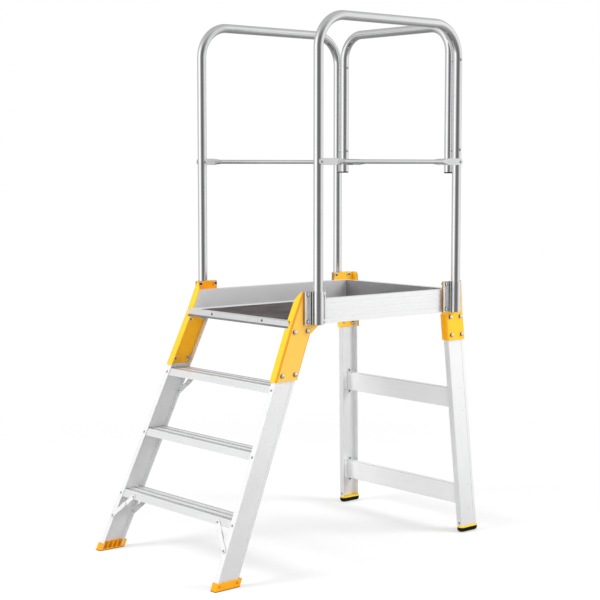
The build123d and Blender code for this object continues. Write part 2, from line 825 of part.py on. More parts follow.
def side_guardrail():
    corners = [(0, clamp_bottom), (0, rail_axis), (post_pitch, rail_axis), (post_pitch, clamp_bottom)]
    path = FilletPolyline(*[(post_x, y, z) for y, z in corners], radius=rail_bend)
    shape = bent_tube(path)
    for spot in rail_joint_spots + midrail_side_spots:
        shape -= drill(spot, rail_bolt_diameter + hole_clearance, 2 * tube_diameter)
    return shape


def rear_guardrail():
    low = midrail_axis - rear_rail_tail
    corners = [(-rear_leg_x, low), (-rear_leg_x, rail_axis), (rear_leg_x, rail_axis), (rear_leg_x, low)]
    path = FilletPolyline(*[(x, post_pitch, z) for x, z in corners], radius=rear_rail_bend)
    shape = bent_tube(path)
    for spot in rail_joint_spots + [midrail_rear_spot]:
        hole = drill(spot, rail_bolt_diameter + hole_clearance, 2 * rail_joint_length)
        shape -= [hole, other_side(hole)]
    return shape


def spacer(spot):
    middle = (post_x + rear_leg_x) / 2
    z = spot.position.Z
    turned = Pos(middle, post_pitch, z) * Rot(0, 90, 0)
    shape = turned * rod(spacer_diameter, -tube_radius, tube_radius)
    for x in (post_x, rear_leg_x):
        shape -= Pos(x, post_pitch, z) * Cylinder(tube_radius + fit_gap / 2, 2 * spacer_diameter)
    return shape - turned * rod(rail_bolt_diameter + hole_clearance, -tube_diameter, tube_diameter)


def end_cap():
    low = midrail_axis - rear_rail_tail
    plug = rod(2 * (tube_radius - tube_wall - fit_gap), 0, cap_plug)
    lid = rod(tube_diameter, -cap_wall, 0)
    lid = fillet(lid.edges().sort_by(Axis.Z)[0], cap_round)
    return Pos(rear_leg_x, post_pitch, low) * (plug + lid)


def midrail(pitch):
    # Tube with flattened, round-ended tips, drawn along X between its two fixings
    radius = midrail_diameter / 2
    round_start = midrail_flat + midrail_taper
    width, wall = midrail_flat_width, midrail_flat_wall
    tip = Pos(midrail_flat / 2, 0) * Rectangle(midrail_flat, width) + Circle(midrail_end_radius)
    end = Pos(0, 0, -wall / 2) * extrude(tip, amount=wall)
    stations = (
        (midrail_flat - over, width, wall),
        (midrail_flat + midrail_taper / 2, midrail_taper_width, midrail_taper_wall),
        (round_start, midrail_diameter, midrail_diameter),
    )
    rings = []
    for x, across, thick in stations:
        draw = Plane(origin=(x, 0, 0), x_dir=(0, 1, 0), z_dir=(1, 0, 0))
        rings.append(draw * Ellipse(across / 2, thick / 2))
    end += loft(rings)
    middle = Pos(pitch / 2, 0, 0) * Rot(0, 90, 0) * Cylinder(radius, pitch - 2 * round_start)
    far_end = Pos(pitch, 0, 0) * mirror(end, about=Plane.YZ)
    shape = end + middle + far_end
    for x in (0, pitch):
        shape -= Pos(x, 0, 0) * Cylinder((rail_bolt_diameter + hole_clearance) / 2, 2 * wall)
    return shape


def side_midrail():
    place = Plane(origin=(midrail_x, 0, midrail_axis), x_dir=(0, 1, 0), z_dir=(1, 0, 0))
    return place.location * midrail(post_pitch)


def rear_midrail():
    origin = (-rear_leg_x, midrail_rear_y, midrail_axis)
    place = Plane(origin=origin, x_dir=(1, 0, 0), z_dir=(0, 1, 0))
    return place.location * midrail(2 * rear_leg_x)


def through_rivet(grip):
    # Domed at the head and closed on the far side of the tube
    head = dome(rail_bolt_head, rail_bolt_head_height)
    tail = Pos(0, 0, -grip - tube_clearance) * Rot(180, 0, 0) * head
    return head + rod(rail_bolt_diameter, -grip - tube_clearance, 0) + tail


# Fastener groups
def set_of(shape, spots, both_sides=True):
    placed = [spot * shape for spot in spots]
    if both_sides:
        placed += [other_side(item) for item in placed]
    return placed


def frame_bolts():
    long_bolt = bolt(bolt_diameter, bolt_head, bolt_head_height, bracket_grip + nut_height + bolt_tail)
    placed = set_of(long_bolt, front_bolt_spots + rear_bolt_spots)
    for post_y in post_places.values():
        for spot in clamp_spots(post_y):
            length = clamp_nut_depth(spot) + nut_height + bolt_tail
            placed += set_of(bolt(bolt_diameter, bolt_head, bolt_head_height, length), [spot])
    return placed


def clamp_nut_depth(spot):
    # Behind the board's outer wall where the board backs the plate, otherwise behind the plate
    backed = spot.position.Z < board_top and spot.position.Y < rear_board_back
    return clamp_grip + (board_wall if backed else 0)


def frame_nuts():
    placed = set_of(Pos(0, 0, -bracket_grip) * nut(bolt_diameter), front_bolt_spots + rear_bolt_spots)
    for post_y in post_places.values():
        for spot in clamp_spots(post_y):
            placed += set_of(Pos(0, 0, -clamp_nut_depth(spot)) * nut(bolt_diameter), [spot])
    return placed


def brace_rivets():
    placed = []
    for level, front in brace_plan.values():
        top, foot = brace_spots(level, front)
        placed += set_of(rivet(brace_wall + tread_wall), [top])
        placed += set_of(rivet(brace_wall + fit_gap + channel_wall), [foot])
    return placed


def foot_rivets():
    boot_rivet = dome(rivet_head, rivet_head_height) + rod(rivet_diameter, -boot_rivet_length, 0)
    return set_of(boot_rivet, boot_spots) + set_of(rivet(leg_rivet_grip), [leg_spot])


def crossbar_rivets():
    # Heads on the end plates, the far ends set flush with the legs' webs
    shape = bolt(rivet_diameter, rivet_head, rivet_head_height, crossbar_grip)
    spots = [spot for top in crossbar_tops.values() for spot in crossbar_spots(top)]
    return set_of(Pos(0, 0, -crossbar_grip) * Rot(180, 0, 0) * shape, spots)


def midrail_rivets():
    shape = through_rivet(midrail_grip)
    return set_of(shape, midrail_side_spots) + set_of(shape, [midrail_rear_spot])


nodes = {}


def add_pair(name, shape):
    nodes[f"{name}_right"] = [shape]
    nodes[f"{name}_left"] = [other_side(shape)]


add_pair("stile", stile())
for name, level in tread_levels.items():
    nodes[f"tread_{name}"] = [tread(level)]
nodes["tread_rivets"] = set_of(rivet(tread_grip), tread_spots)
for name, (level, front) in brace_plan.items():
    add_pair(name, brace(level, front))
nodes["brace_rivets"] = brace_rivets()
add_pair("front_foot", boot())
nodes["foot_rivets"] = foot_rivets()

add_pair("front_bracket", front_bracket())
backing_top = channel_top - backing_margin
add_pair("stile_backing", backing(stile_frame, front_bracket_low, backing_top, front_bolt_spots))
add_pair("rear_bracket", rear_bracket())
add_pair("leg_backing", backing(leg_frame, rear_bracket_low, backing_top, rear_bolt_spots))
add_pair("rear_leg", rear_leg())
for name, top in crossbar_tops.items():
    nodes[f"crossbar_{name}"] = [crossbar(top)]
nodes["crossbar_rivets"] = crossbar_rivets()
add_pair("foot_collar", collar())
add_pair("rear_foot", foot_shoe())

nodes["deck_panel"] = [deck()]
nodes["deck_nosing"] = [nosing()]
add_pair("side_board", side_board())
nodes["rear_board"] = [rear_board()]
nodes["deck_screws"] = set_of(screw(screw_length), board_screw_spots)
nodes["deck_screws"] += set_of(screw(screw_length), nosing_spots, both_sides=False)

for name, post_y in post_places.items():
    add_pair(f"rail_clamp_{name}", clamp(post_y))
    add_pair(f"clamp_packer_{name}", packer(post_y, packer_wide_top[name]))
nodes["frame_bolts"] = frame_bolts()
nodes["frame_nuts"] = frame_nuts()

add_pair("guardrail", side_guardrail())
nodes["guardrail_rear"] = [rear_guardrail()]
add_pair("midrail", side_midrail())
nodes["midrail_rear"] = [rear_midrail()]
nodes["midrail_rivets"] = midrail_rivets()
nodes["rail_joint_bolts"] = set_of(through_rivet(rail_joint_length), rail_joint_spots)
spacers = [spacer(spot) for spot in rail_joint_spots]
nodes["rail_spacers"] = spacers + [other_side(item) for item in spacers]
nodes["rail_end_caps"] = [end_cap(), other_side(end_cap())]

# The finished object stands on the floor, centred on its own footprint
everything = Compound([item for items in nodes.values() for shape in items for item in shape.solids()])
box = everything.bounding_box()
to_middle = Pos(0, -(box.min.Y + box.max.Y) / 2, 0)
os.makedirs("parts", exist_ok=True)
for name, items in nodes.items():
    solids = [to_middle * solid for shape in items for solid in shape.solids()]
    export_step(solids[0] if len(solids) == 1 else Compound(solids), f"parts/{name}.step")
print(f"{len(nodes)} nodes, {box.size.X:.1f} x {box.size.Y:.1f} x {box.size.Z:.1f}")
print(f"moved {to_middle.position.Y:.2f} in Y")
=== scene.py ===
import bmesh
import bpy
import math
import numpy
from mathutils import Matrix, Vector


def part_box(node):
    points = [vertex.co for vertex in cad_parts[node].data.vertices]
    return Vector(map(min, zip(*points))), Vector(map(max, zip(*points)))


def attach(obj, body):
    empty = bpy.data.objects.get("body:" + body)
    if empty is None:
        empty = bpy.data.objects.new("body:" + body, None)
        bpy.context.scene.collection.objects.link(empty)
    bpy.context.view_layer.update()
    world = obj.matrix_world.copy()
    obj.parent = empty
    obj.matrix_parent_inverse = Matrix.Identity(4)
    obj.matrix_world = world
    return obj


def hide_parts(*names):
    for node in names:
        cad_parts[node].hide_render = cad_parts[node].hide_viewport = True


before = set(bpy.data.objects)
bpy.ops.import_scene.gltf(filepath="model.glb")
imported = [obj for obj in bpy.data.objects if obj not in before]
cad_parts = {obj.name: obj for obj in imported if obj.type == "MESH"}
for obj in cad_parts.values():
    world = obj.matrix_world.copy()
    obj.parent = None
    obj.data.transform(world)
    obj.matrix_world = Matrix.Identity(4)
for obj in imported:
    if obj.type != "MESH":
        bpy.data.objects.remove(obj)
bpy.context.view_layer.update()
scene = bpy.context.scene
scene.view_settings.view_transform = "Standard"
print("frame loaded:", len(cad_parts), "nodes")

sides = {"left": -1, "right": 1}  # each side's sign along x
alongX, alongY, alongZ = range(3)
noTurn = (0.0, 0.0, 0.0)
wholeNoise, middleNoise = (0.3, 0.7), (0.38, 0.62)  # where most of a noise's values lie


def addNode(tree, kind, inputs=None, **settings):
    # inputs hold the socket to link from or a plain value, for a colour its three parts
    node = tree.nodes.new(kind)
    for name, value in settings.items():
        setattr(node, name, value)
    for name, value in (inputs or {}).items():
        socket = node.inputs[name]
        if isinstance(value, bpy.types.NodeSocket):
            tree.links.new(value, socket)
        else:
            socket.default_value = (*value, 1.0) if socket.type == "RGBA" else value
    return node


def mathNode(tree, operation, first, second=0.0, third=0.0):
    return addNode(tree, "ShaderNodeMath", {0: first, 1: second, 2: third}, operation=operation).outputs[0]


def mixed(tree, first, second, share):
    # a share of the first value and the rest of the second
    return mathNode(tree, "MULTIPLY_ADD", first, share, mathNode(tree, "MULTIPLY", second, 1.0 - share))


def lengthOf(tree, vector):
    return addNode(tree, "ShaderNodeVectorMath", {0: vector}, operation="LENGTH").outputs["Value"]


def emptyFinish(name):
    material = bpy.data.materials.new(name)
    material.use_nodes = True
    material.node_tree.nodes.clear()
    return material.node_tree


def showSurface(tree, shader, kind="ShaderNodeOutputMaterial"):
    addNode(tree, kind, {"Surface": shader.outputs[0]})


def newFinish(name, inputs):
    tree = emptyFinish(name)
    shader = addNode(tree, "ShaderNodeBsdfPrincipled", inputs)
    showSurface(tree, shader)
    return tree, shader


def makeFinishes(make, base, changes):
    # one finish for each set of changes to the base look
    for name, change in changes.items():
        make(name, {**base, **change})


def placed(tree, coords, size, turn):
    # turned coordinates that count in steps of the given size in metres
    return addNode(tree, "ShaderNodeMapping", {"Vector": coords, "Rotation": turn, "Scale": size},
                   vector_type="TEXTURE").outputs[0]


def grain(tree, coords, size, detail=3.0, turn=noTurn):
    # noise with blobs of the given size in metres along the three axes
    return addNode(tree, "ShaderNodeTexNoise", {"Vector": placed(tree, coords, size, turn), "Scale": 1.0,
                                                "Detail": detail}, normalize=True).outputs["Fac"]


def spread(tree, factor, low, high, reach=wholeNoise, **settings):
    # the factor's reach laid out from low to high
    return addNode(tree, "ShaderNodeMapRange", {
        "Value": factor, "From Min": reach[0], "From Max": reach[1], "To Min": low, "To Max": high},
        **settings).outputs["Result"]


def blend(tree, factor, first, second):
    return addNode(tree, "ShaderNodeMix", {0: factor, 6: first, 7: second}, data_type="RGBA").outputs[2]


def level(tree, factor, first, second):
    return addNode(tree, "ShaderNodeMix", {0: factor, 2: first, 3: second}, data_type="FLOAT").outputs[0]


def objectCoords(tree):
    return addNode(tree, "ShaderNodeTexCoord").outputs["Object"]


def markTone(tree, name="edgeTone"):
    # a value kept on the mesh: how far a face is marked, 1 on broken edges, and for painted shade in grooves,
    # valleys, bands and on folds
    return addNode(tree, "ShaderNodeAttribute", attribute_name=name).outputs["Fac"]


def feed(tree, shader, colour, roughness, normal):
    for label, value in (("Base Color", colour), ("Roughness", roughness), ("Normal", normal)):
        tree.links.new(value, shader.inputs[label])


def relief(tree, *layers):
    # bumps laid over each other, each a height and its depth in metres
    normal = None
    for height, depth in layers:
        inputs = {"Height": height, "Distance": depth, "Strength": 1.0}
        if normal:
            inputs["Normal"] = normal
        normal = addNode(tree, "ShaderNodeBump", inputs).outputs[0]
    return normal


extrusionLook = {"metallic": 0.52, "bright": (0.925, 0.929, 0.933), "dull": (0.875, 0.879, 0.885),
                 "edge": (0.95, 0.953, 0.957), "roughness": (0.30, 0.42), "edgeRoughness": 0.26,
                 "lineWidth": 0.0011, "lineRun": 0.8, "lineShare": 0.55, "lineDepth": 0.000005, "cloud": 0.11,
                 "scuffSize": (0.012, 0.012, 0.0011), "scuffTurn": (0.4, 0.7, 0.2), "scuffShare": 0.4,
                 "scuffDepth": 0.000004, "groove": (0.20, 0.202, 0.206), "grooveRoughness": 0.55,
                 "grime": (0.8, 1.0), "run": alongX, "turn": noTurn}


def extrudedMetal(name, look):
    # die lines run along one axis of the turned piece
    tree, shader = newFinish(name, {"Metallic": look["metallic"]})
    coords = objectCoords(tree)
    lineSize = [look["lineWidth"]] * 3
    lineSize[look["run"]] = look["lineRun"]
    lines = grain(tree, coords, lineSize, turn=look["turn"])
    clouds = grain(tree, coords, [look["cloud"]] * 3, detail=4.0)
    scuffs = grain(tree, coords, look["scuffSize"], detail=2.0, turn=look["scuffTurn"])
    worn = markTone(tree)
    shade = spread(tree, mixed(tree, lines, clouds, look["lineShare"]), 0.0, 1.0, middleNoise)
    # broken edges: paler wear, partly a painted highlight; on straps and crossbars the edge colour is a painted
    # dark shadow line
    colour = blend(tree, worn, blend(tree, shade, look["dull"], look["bright"]), look["edge"])
    # painted shade: marked grooves, valleys and bands blend towards a dark shade colour, a little uneven
    grime = mathNode(tree, "MULTIPLY", markTone(tree, "shadeTone"), spread(tree, clouds, *look["grime"]))
    rough = spread(tree, mixed(tree, scuffs, clouds, look["scuffShare"]), *look["roughness"])
    rough = level(tree, worn, rough, look["edgeRoughness"])
    feed(tree, shader, blend(tree, grime, colour, look["groove"]),
         level(tree, grime, rough, look["grooveRoughness"]),
         relief(tree, (lines, look["lineDepth"]), (scuffs, look["scuffDepth"])))


lowTread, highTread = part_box("tread_lower")[0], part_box("tread_upper")[0]
ladderLean = math.atan2(highTread.y - lowTread.y, highTread.z - lowTread.z)
legLean = math.radians(3.5)
boardLook = {"bright": (0.93, 0.934, 0.938), "dull": (0.905, 0.909, 0.914), "lineDepth": 0.000002,
             "scuffDepth": 0.000003}
rodLook = {"metallic": 1.0, "bright": (0.86, 0.864, 0.87), "dull": (0.78, 0.785, 0.79),
           "roughness": (0.16, 0.24), "edgeRoughness": 0.2}
clampLook = {"run": alongZ, "metallic": 1.0, "bright": (0.96, 0.963, 0.967), "dull": (0.91, 0.914, 0.92),
             "roughness": (0.075, 0.115), "edgeRoughness": 0.1, "lineDepth": 0.0000008,
             "scuffDepth": 0.0000006, "groove": (0.24, 0.241, 0.244), "grooveRoughness": 0.4}
makeFinishes(extrudedMetal, extrusionLook, {
    "stileMetal": {"run": alongZ, "turn": (-ladderLean, 0.0, 0.0)},
    "legMetal": {"run": alongZ, "turn": (legLean, 0.0, 0.0), "metallic": 0.43},
    # a tread's top: a darker copy of the metal, painted shade
    "treadMetal": {"metallic": 0.4, "bright": (0.74, 0.743, 0.747), "dull": (0.69, 0.693, 0.697),
                   "groove": (0.40, 0.402, 0.406)},
    "apronMetal": {"metallic": 0.74},
    # straps and crossbars: dark edge colour, a painted shadow line along their edges
    "strapMetal": {"edge": (0.50, 0.503, 0.508)},
    "barMetal": {"metallic": 0.24, "bright": (0.955, 0.958, 0.962), "dull": (0.915, 0.919, 0.925),
                 "edge": (0.55, 0.553, 0.558)},
    "boardMetal": {**boardLook, "run": alongY},
    "crossBoardMetal": boardLook,
    # the rear board's inner face: a darker copy of the metal, painted shade
    "rearBoardMetal": {**boardLook, "metallic": 0.9, "bright": (0.48, 0.483, 0.49),
                       "dull": (0.43, 0.434, 0.44), "roughness": (0.22, 0.32)},
    "nosingMetal": {**boardLook, "metallic": 0.6, "bright": (0.75, 0.754, 0.76), "dull": (0.69, 0.694, 0.70)},
    "clampMetal": clampLook,
    "ribMetal": {**clampLook, "metallic": 0.72, "roughness": (0.15, 0.22), "edgeRoughness": 0.18},
    "rodMetal": {**rodLook, "run": alongY},
    "rearRodMetal": rodLook})

tubeLook = {"bright": (0.95, 0.953, 0.957), "dull": (0.89, 0.894, 0.90), "roughness": (0.075, 0.12),
            "streakWidth": 0.0011, "streakRun": 0.5, "streakShare": 0.6, "ringWidth": 0.03, "ringRun": 0.0007,
            "ringShare": 0.5, "cloud": 0.05, "depth": 0.000006}


def polishedTube(name, look):
    # reads how far along and where round the tube a point lies, so the polish follows the bends
    tree, shader = newFinish(name, {"Metallic": 1.0})
    ring = addNode(tree, "ShaderNodeAttribute", attribute_name="tubeRound").outputs["Vector"]
    ring = addNode(tree, "ShaderNodeSeparateXYZ", {0: ring}).outputs
    coords = addNode(tree, "ShaderNodeCombineXYZ", {
        0: ring[0], 1: ring[1], 2: markTone(tree, "tubeAlong")}).outputs[0]
    streaks = grain(tree, coords, (look["streakWidth"], look["streakWidth"], look["streakRun"]))
    rings = grain(tree, coords, (look["ringWidth"], look["ringWidth"], look["ringRun"]), detail=2.0)
    clouds = grain(tree, coords, [look["cloud"]] * 3, detail=4.0)
    shade = spread(tree, mixed(tree, streaks, clouds, look["streakShare"]), 0.0, 1.0, middleNoise)
    feed(tree, shader, blend(tree, shade, look["dull"], look["bright"]),
         spread(tree, mixed(tree, rings, clouds, look["ringShare"]), *look["roughness"]),
         relief(tree, (streaks, look["depth"]), (rings, look["depth"])))


polishedTube("tubeMetal", tubeLook)

paintLook = {"colour": (0.98, 0.52, 0.010), "deep": (0.96, 0.485, 0.008), "edge": (0.98, 0.58, 0.03),
             # bent: the colour of the painted shade along the folds
             "worn": (0.72, 0.46, 0.13), "bent": (0.66, 0.27, 0.004), "index": 1.5, "gloss": 0.45,
             "coat": 0.05, "coatRoughness": 0.2, "roughness": (0.34, 0.44), "cloud": 0.07, "peel": 0.0016,
             "peelShare": 0.4, "peelDepth": 0.00004, "rub": 0.011, "rubReach": (0.60, 0.68), "rubMost": 0.7}


def paintedSheet(name, look):
    # powder coat: orange peel, slow colour drift, painted shade on the folds, thin and rubbed on the edges
    tree, shader = newFinish(name, {
        "Metallic": 0.0, "IOR": look["index"], "Specular IOR Level": look["gloss"],
        "Coat Weight": look["coat"], "Coat Roughness": look["coatRoughness"]})
    coords = objectCoords(tree)
    clouds = grain(tree, coords, [look["cloud"]] * 3, detail=4.0)
    peel = grain(tree, coords, [look["peel"]] * 3, detail=1.5)
    rubs = grain(tree, coords, [look["rub"]] * 3, detail=5.0)
    worn = markTone(tree)
    colour = blend(tree, spread(tree, clouds, 0.0, 1.0), look["deep"], look["colour"])
    # painted shade along the folds
    colour = blend(tree, markTone(tree, "foldShadeTone"), colour, look["bent"])
    colour = blend(tree, worn, colour, look["edge"])
    rubbed = mathNode(tree, "MULTIPLY", worn, spread(tree, rubs, 0.0, look["rubMost"], look["rubReach"]))
    feed(tree, shader, blend(tree, rubbed, colour, look["worn"]),
         spread(tree, mixed(tree, peel, clouds, look["peelShare"]), *look["roughness"]),
         relief(tree, (peel, look["peelDepth"])))


makeFinishes(paintedSheet, paintLook, {
    "yellowPaint": {},
    # outer web of the front brackets: a paler, bluer copy of the yellow, painted sheen
    "webPaint": {"colour": (0.84, 0.49, 0.070), "deep": (0.81, 0.46, 0.063)},
    # inner walls of the front brackets: a deeper orange copy, painted shade
    "insidePaint": {"colour": (0.93, 0.335, 0.002), "deep": (0.875, 0.30, 0.002), "gloss": 0.2},
    # right rear flange: a deeper orange copy, painted shade
    "flangePaint": {"colour": (0.99, 0.43, 0.002), "deep": (0.97, 0.40, 0.002), "gloss": 0.1},
    # left rear flange: a paler copy, painted light
    "palePaint": {"colour": (0.99, 0.66, 0.014), "deep": (0.98, 0.62, 0.012)},
    # backings inside the stile channels: a deeper orange copy, painted shade
    "backingPaint": {"colour": (0.98, 0.47, 0.005), "deep": (0.95, 0.43, 0.004), "gloss": 0.2},
    # packers: a dark brown copy where their edges sit in shade, painted shade
    "packerPaint": {"colour": (0.30, 0.105, 0.007), "deep": (0.25, 0.085, 0.006),
                    "edge": (0.36, 0.14, 0.012), "worn": (0.32, 0.17, 0.05)},
    # sheet rims: dark brown, painted shade in the gaps along the cut edges
    "cutPaint": {"colour": (0.36, 0.135, 0.006), "deep": (0.30, 0.105, 0.005), "edge": (0.70, 0.30, 0.012)}})

plasticLook = {"colour": (0.87, 0.355, 0.004), "deep": (0.80, 0.315, 0.003), "edge": (0.95, 0.50, 0.03),
               # the dark colour at the foot and in the pockets is painted shade
               "sole": (0.20, 0.085, 0.006), "index": 1.48, "gloss": 0.18, "roughness": (0.42, 0.56),
               "cloud": 0.03, "flowSquash": 0.2, "flowShare": 0.5, "pore": 0.0006, "poreShare": 0.5,
               "poreDepth": 0.00005, "edgeWear": (0.35, 0.9)}


def mouldedPlastic(name, look):
    tree, shader = newFinish(name, {
        "Metallic": 0.0, "IOR": look["index"], "Specular IOR Level": look["gloss"]})
    coords = objectCoords(tree)
    clouds = grain(tree, coords, [look["cloud"]] * 3, detail=4.0)
    pores = grain(tree, coords, [look["pore"]] * 3, detail=2.0)
    squashed = look["cloud"] * look["flowSquash"]
    flow = grain(tree, coords, (look["cloud"], squashed, squashed))
    shade = spread(tree, mixed(tree, flow, clouds, look["flowShare"]), 0.0, 1.0, middleNoise)
    colour = blend(tree, shade, look["deep"], look["colour"])
    worn = mathNode(tree, "MULTIPLY", markTone(tree), spread(tree, pores, *look["edgeWear"]))
    colour = blend(tree, worn, colour, look["edge"])
    # painted shade: the band along the foot and the pockets' insides blend towards the dark shade colour
    feed(tree, shader, blend(tree, markTone(tree, "shadeTone"), colour, look["sole"]),
         spread(tree, mixed(tree, pores, clouds, look["poreShare"]), *look["roughness"]),
         relief(tree, (pores, look["poreDepth"])))


makeFinishes(mouldedPlastic, plasticLook, {
    "yellowPlastic": {},
    "collarPlastic": {"colour": (0.95, 0.64, 0.018), "deep": (0.92, 0.58, 0.014), "edge": (0.97, 0.70, 0.06)},
    "plugPlastic": {"colour": (0.62, 0.25, 0.005), "deep": (0.50, 0.19, 0.004), "edge": (0.70, 0.32, 0.02)},
    "blackRubber": {"colour": (0.011, 0.011, 0.012), "deep": (0.006, 0.006, 0.007),
                    "edge": (0.03, 0.03, 0.032), "sole": (0.006, 0.006, 0.006), "roughness": (0.55, 0.78),
                    "cloud": 0.02, "pore": 0.0009, "poreDepth": 0.00009},
    "blackPlastic": {"colour": (0.020, 0.020, 0.021), "deep": (0.012, 0.012, 0.013),
                     "edge": (0.03, 0.03, 0.03), "sole": (0.012, 0.012, 0.012), "roughness": (0.36, 0.50),
                     "cloud": 0.015, "pore": 0.0005, "poreDepth": 0.00003}})

deckLook = {"film": (0.062, 0.045, 0.044), "dark": (0.036, 0.025, 0.024), "dust": (0.11, 0.088, 0.086),
            "index": 1.5, "roughness": (0.66, 0.42), "cell": 0.0085, "cellTurn": math.radians(45),
            "ridge": (0.36, 0.46), "ridgeDepth": 0.0004, "ridgePolish": -0.2, "fibre": 0.0022,
            "fibreRun": 0.16, "fibreDepth": 0.00006, "cloud": 0.08, "dustReach": (0.45, 0.75), "dustMost": 0.35}


def gripFilm(name, look):
    # dark film pressed with a fine grip mesh, fibres of the board showing through
    tree, shader = newFinish(name, {"Metallic": 0.0, "IOR": look["index"]})
    coords = objectCoords(tree)
    cells = addNode(tree, "ShaderNodeSeparateXYZ", {
        0: placed(tree, coords, [look["cell"]] * 3, (0.0, 0.0, look["cellTurn"]))}).outputs
    ridges = [mathNode(tree, "ABSOLUTE", mathNode(tree, "SUBTRACT", mathNode(tree, "FRACT", cell), 0.5))
              for cell in (cells[0], cells[1])]
    mesh = spread(tree, mathNode(tree, "MAXIMUM", *ridges), 0.0, 1.0, look["ridge"])
    fibres = grain(tree, coords, (look["fibre"], look["fibreRun"], look["fibre"]), detail=5.0)
    clouds = grain(tree, coords, [look["cloud"]] * 3, detail=5.0)
    colour = blend(tree, spread(tree, fibres, 0.0, 1.0), look["dark"], look["film"])
    dusty = mathNode(tree, "MULTIPLY", spread(tree, clouds, 0.0, look["dustMost"], look["dustReach"]),
                     mathNode(tree, "SUBTRACT", 1.0, mesh))
    feed(tree, shader, blend(tree, dusty, colour, look["dust"]),
         spread(tree, mathNode(tree, "MULTIPLY_ADD", mesh, look["ridgePolish"], clouds), *look["roughness"]),
         relief(tree, (mesh, look["ridgeDepth"]), (fibres, look["fibreDepth"])))


gripFilm("deckFilm", deckLook)

platedLook = {"metallic": 0.97, "zinc": (0.95, 0.952, 0.955), "warm": (0.90, 0.895, 0.885), "cloud": 0.004,
              "grain": 0.0005, "grainShare": 0.5, "roughness": (0.07, 0.13), "depth": 0.000004}
rivetLook = {"metallic": 1.0, "zinc": (0.55, 0.553, 0.558), "warm": (0.46, 0.457, 0.45),
             "roughness": (0.26, 0.38)}


def platedSteel(name, look):
    tree, shader = newFinish(name, {"Metallic": look["metallic"]})
    coords = objectCoords(tree)
    clouds = grain(tree, coords, [look["cloud"]] * 3, detail=4.0)
    fine = grain(tree, coords, [look["grain"]] * 3, detail=2.0)
    feed(tree, shader, blend(tree, spread(tree, clouds, 0.0, 1.0), look["warm"], look["zinc"]),
         spread(tree, mixed(tree, fine, clouds, look["grainShare"]), *look["roughness"]),
         relief(tree, (fine, look["depth"])))


makeFinishes(platedSteel, platedLook, {
    "zincPlate": {},
    "rivetSteel": rivetLook,
    "screwSteel": {**rivetLook, "zinc": (0.20, 0.20, 0.202), "warm": (0.15, 0.147, 0.143)},
    # near-black copy for the bolt heads' upright sides: painted shade
    "boltSide": {**rivetLook, "zinc": (0.030, 0.030, 0.031), "warm": (0.022, 0.021, 0.020)}})
print("finishes made:", len(bpy.data.materials))

mergeDistance, cutSlack = 0.00003, 0.00001
flatAngle, sharpAngle, creaseAngle = (math.radians(angle) for angle in (0.8, 32, 50))
facing, askew = 0.7, 0.1  # a face looks one way, or leans that way at all


def camel(nodeName):
    first, *rest = nodeName.split("_")
    return first + "".join(word.capitalize() for word in rest)


def plainMesh(piece):
    # the evaluated result as a plain mesh, modifiers gone
    depsgraph = bpy.context.evaluated_depsgraph_get()
    mesh = bpy.data.meshes.new_from_object(piece.evaluated_get(depsgraph), preserve_all_data_layers=True,
                                           depsgraph=depsgraph)
    piece.modifiers.clear()
    piece.data = mesh
    return mesh


def newPiece(name, data):
    piece = bpy.data.objects.new(name, data)
    scene.collection.objects.link(piece)
    return piece


def formedPiece(name, work, *finishes):
    mesh = bpy.data.meshes.new(name)
    work.to_mesh(mesh)
    work.free()
    for finish in finishes:
        mesh.materials.append(bpy.data.materials[finish])
    return newPiece(name, mesh)


def thicken(piece, thickness, **settings):
    wall = piece.modifiers.new("wall", "SOLIDIFY")
    wall.thickness = thickness
    wall.offset = -1.0
    for name, value in settings.items():
        setattr(wall, name, value)
    return plainMesh(piece)


def settle(piece, slot, *nodes):
    mesh = piece.data
    mesh.shade_smooth()
    mesh.set_sharp_from_angle(angle=creaseAngle)
    weighted = piece.modifiers.new("weighted", "WEIGHTED_NORMAL")
    weighted.keep_sharp = True
    plainMesh(piece)
    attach(piece, "root")
    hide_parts(*nodes)


def mergedCopy(nodeName):
    work = bmesh.new()
    work.from_mesh(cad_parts[nodeName].data)
    bmesh.ops.remove_doubles(work, verts=work.verts, dist=mergeDistance)
    bmesh.ops.dissolve_limit(work, angle_limit=flatAngle, verts=work.verts, edges=work.edges)
    work.normal_update()
    return work


def roundEdges(work, edges, width, segments, markName, mark):
    tone = work.faces.layers.float[markName]
    made = bmesh.ops.bevel(work, geom=edges, offset=width, offset_type="OFFSET", segments=segments,
                           profile=0.5, affect="EDGES", clamp_overlap=False)
    for face in made["faces"]:
        face[tone] = mark


def breakEdges(work, width, segments):
    work.faces.layers.float.new("edgeTone")
    sharp = [edge for edge in work.edges
             if len(edge.link_faces) == 2 and edge.calc_face_angle(0.0) > sharpAngle]
    roundEdges(work, sharp, width, segments, "edgeTone", 1.0)


def dress(nodeName, finish, slot, edge, segments, first=None, second=None):
    # the node's own shape with broken edges; first marks faces, some for the second finish
    work = mergedCopy(nodeName)
    if first:
        first(work)
    breakEdges(work, edge, segments)
    settle(formedPiece(camel(nodeName), work, *filter(None, (finish, second))), slot, nodeName)


# which grooves and strips of a tread's top get painted shade, by share of its depth
treadLines = {"from": 0.0005, "to": 0.006, "dark": (0.2, 0.6), "near": 0.1, "soft": 0.2, "nose": 0.14,
              "strip": 0.86, "stripTone": 0.5}


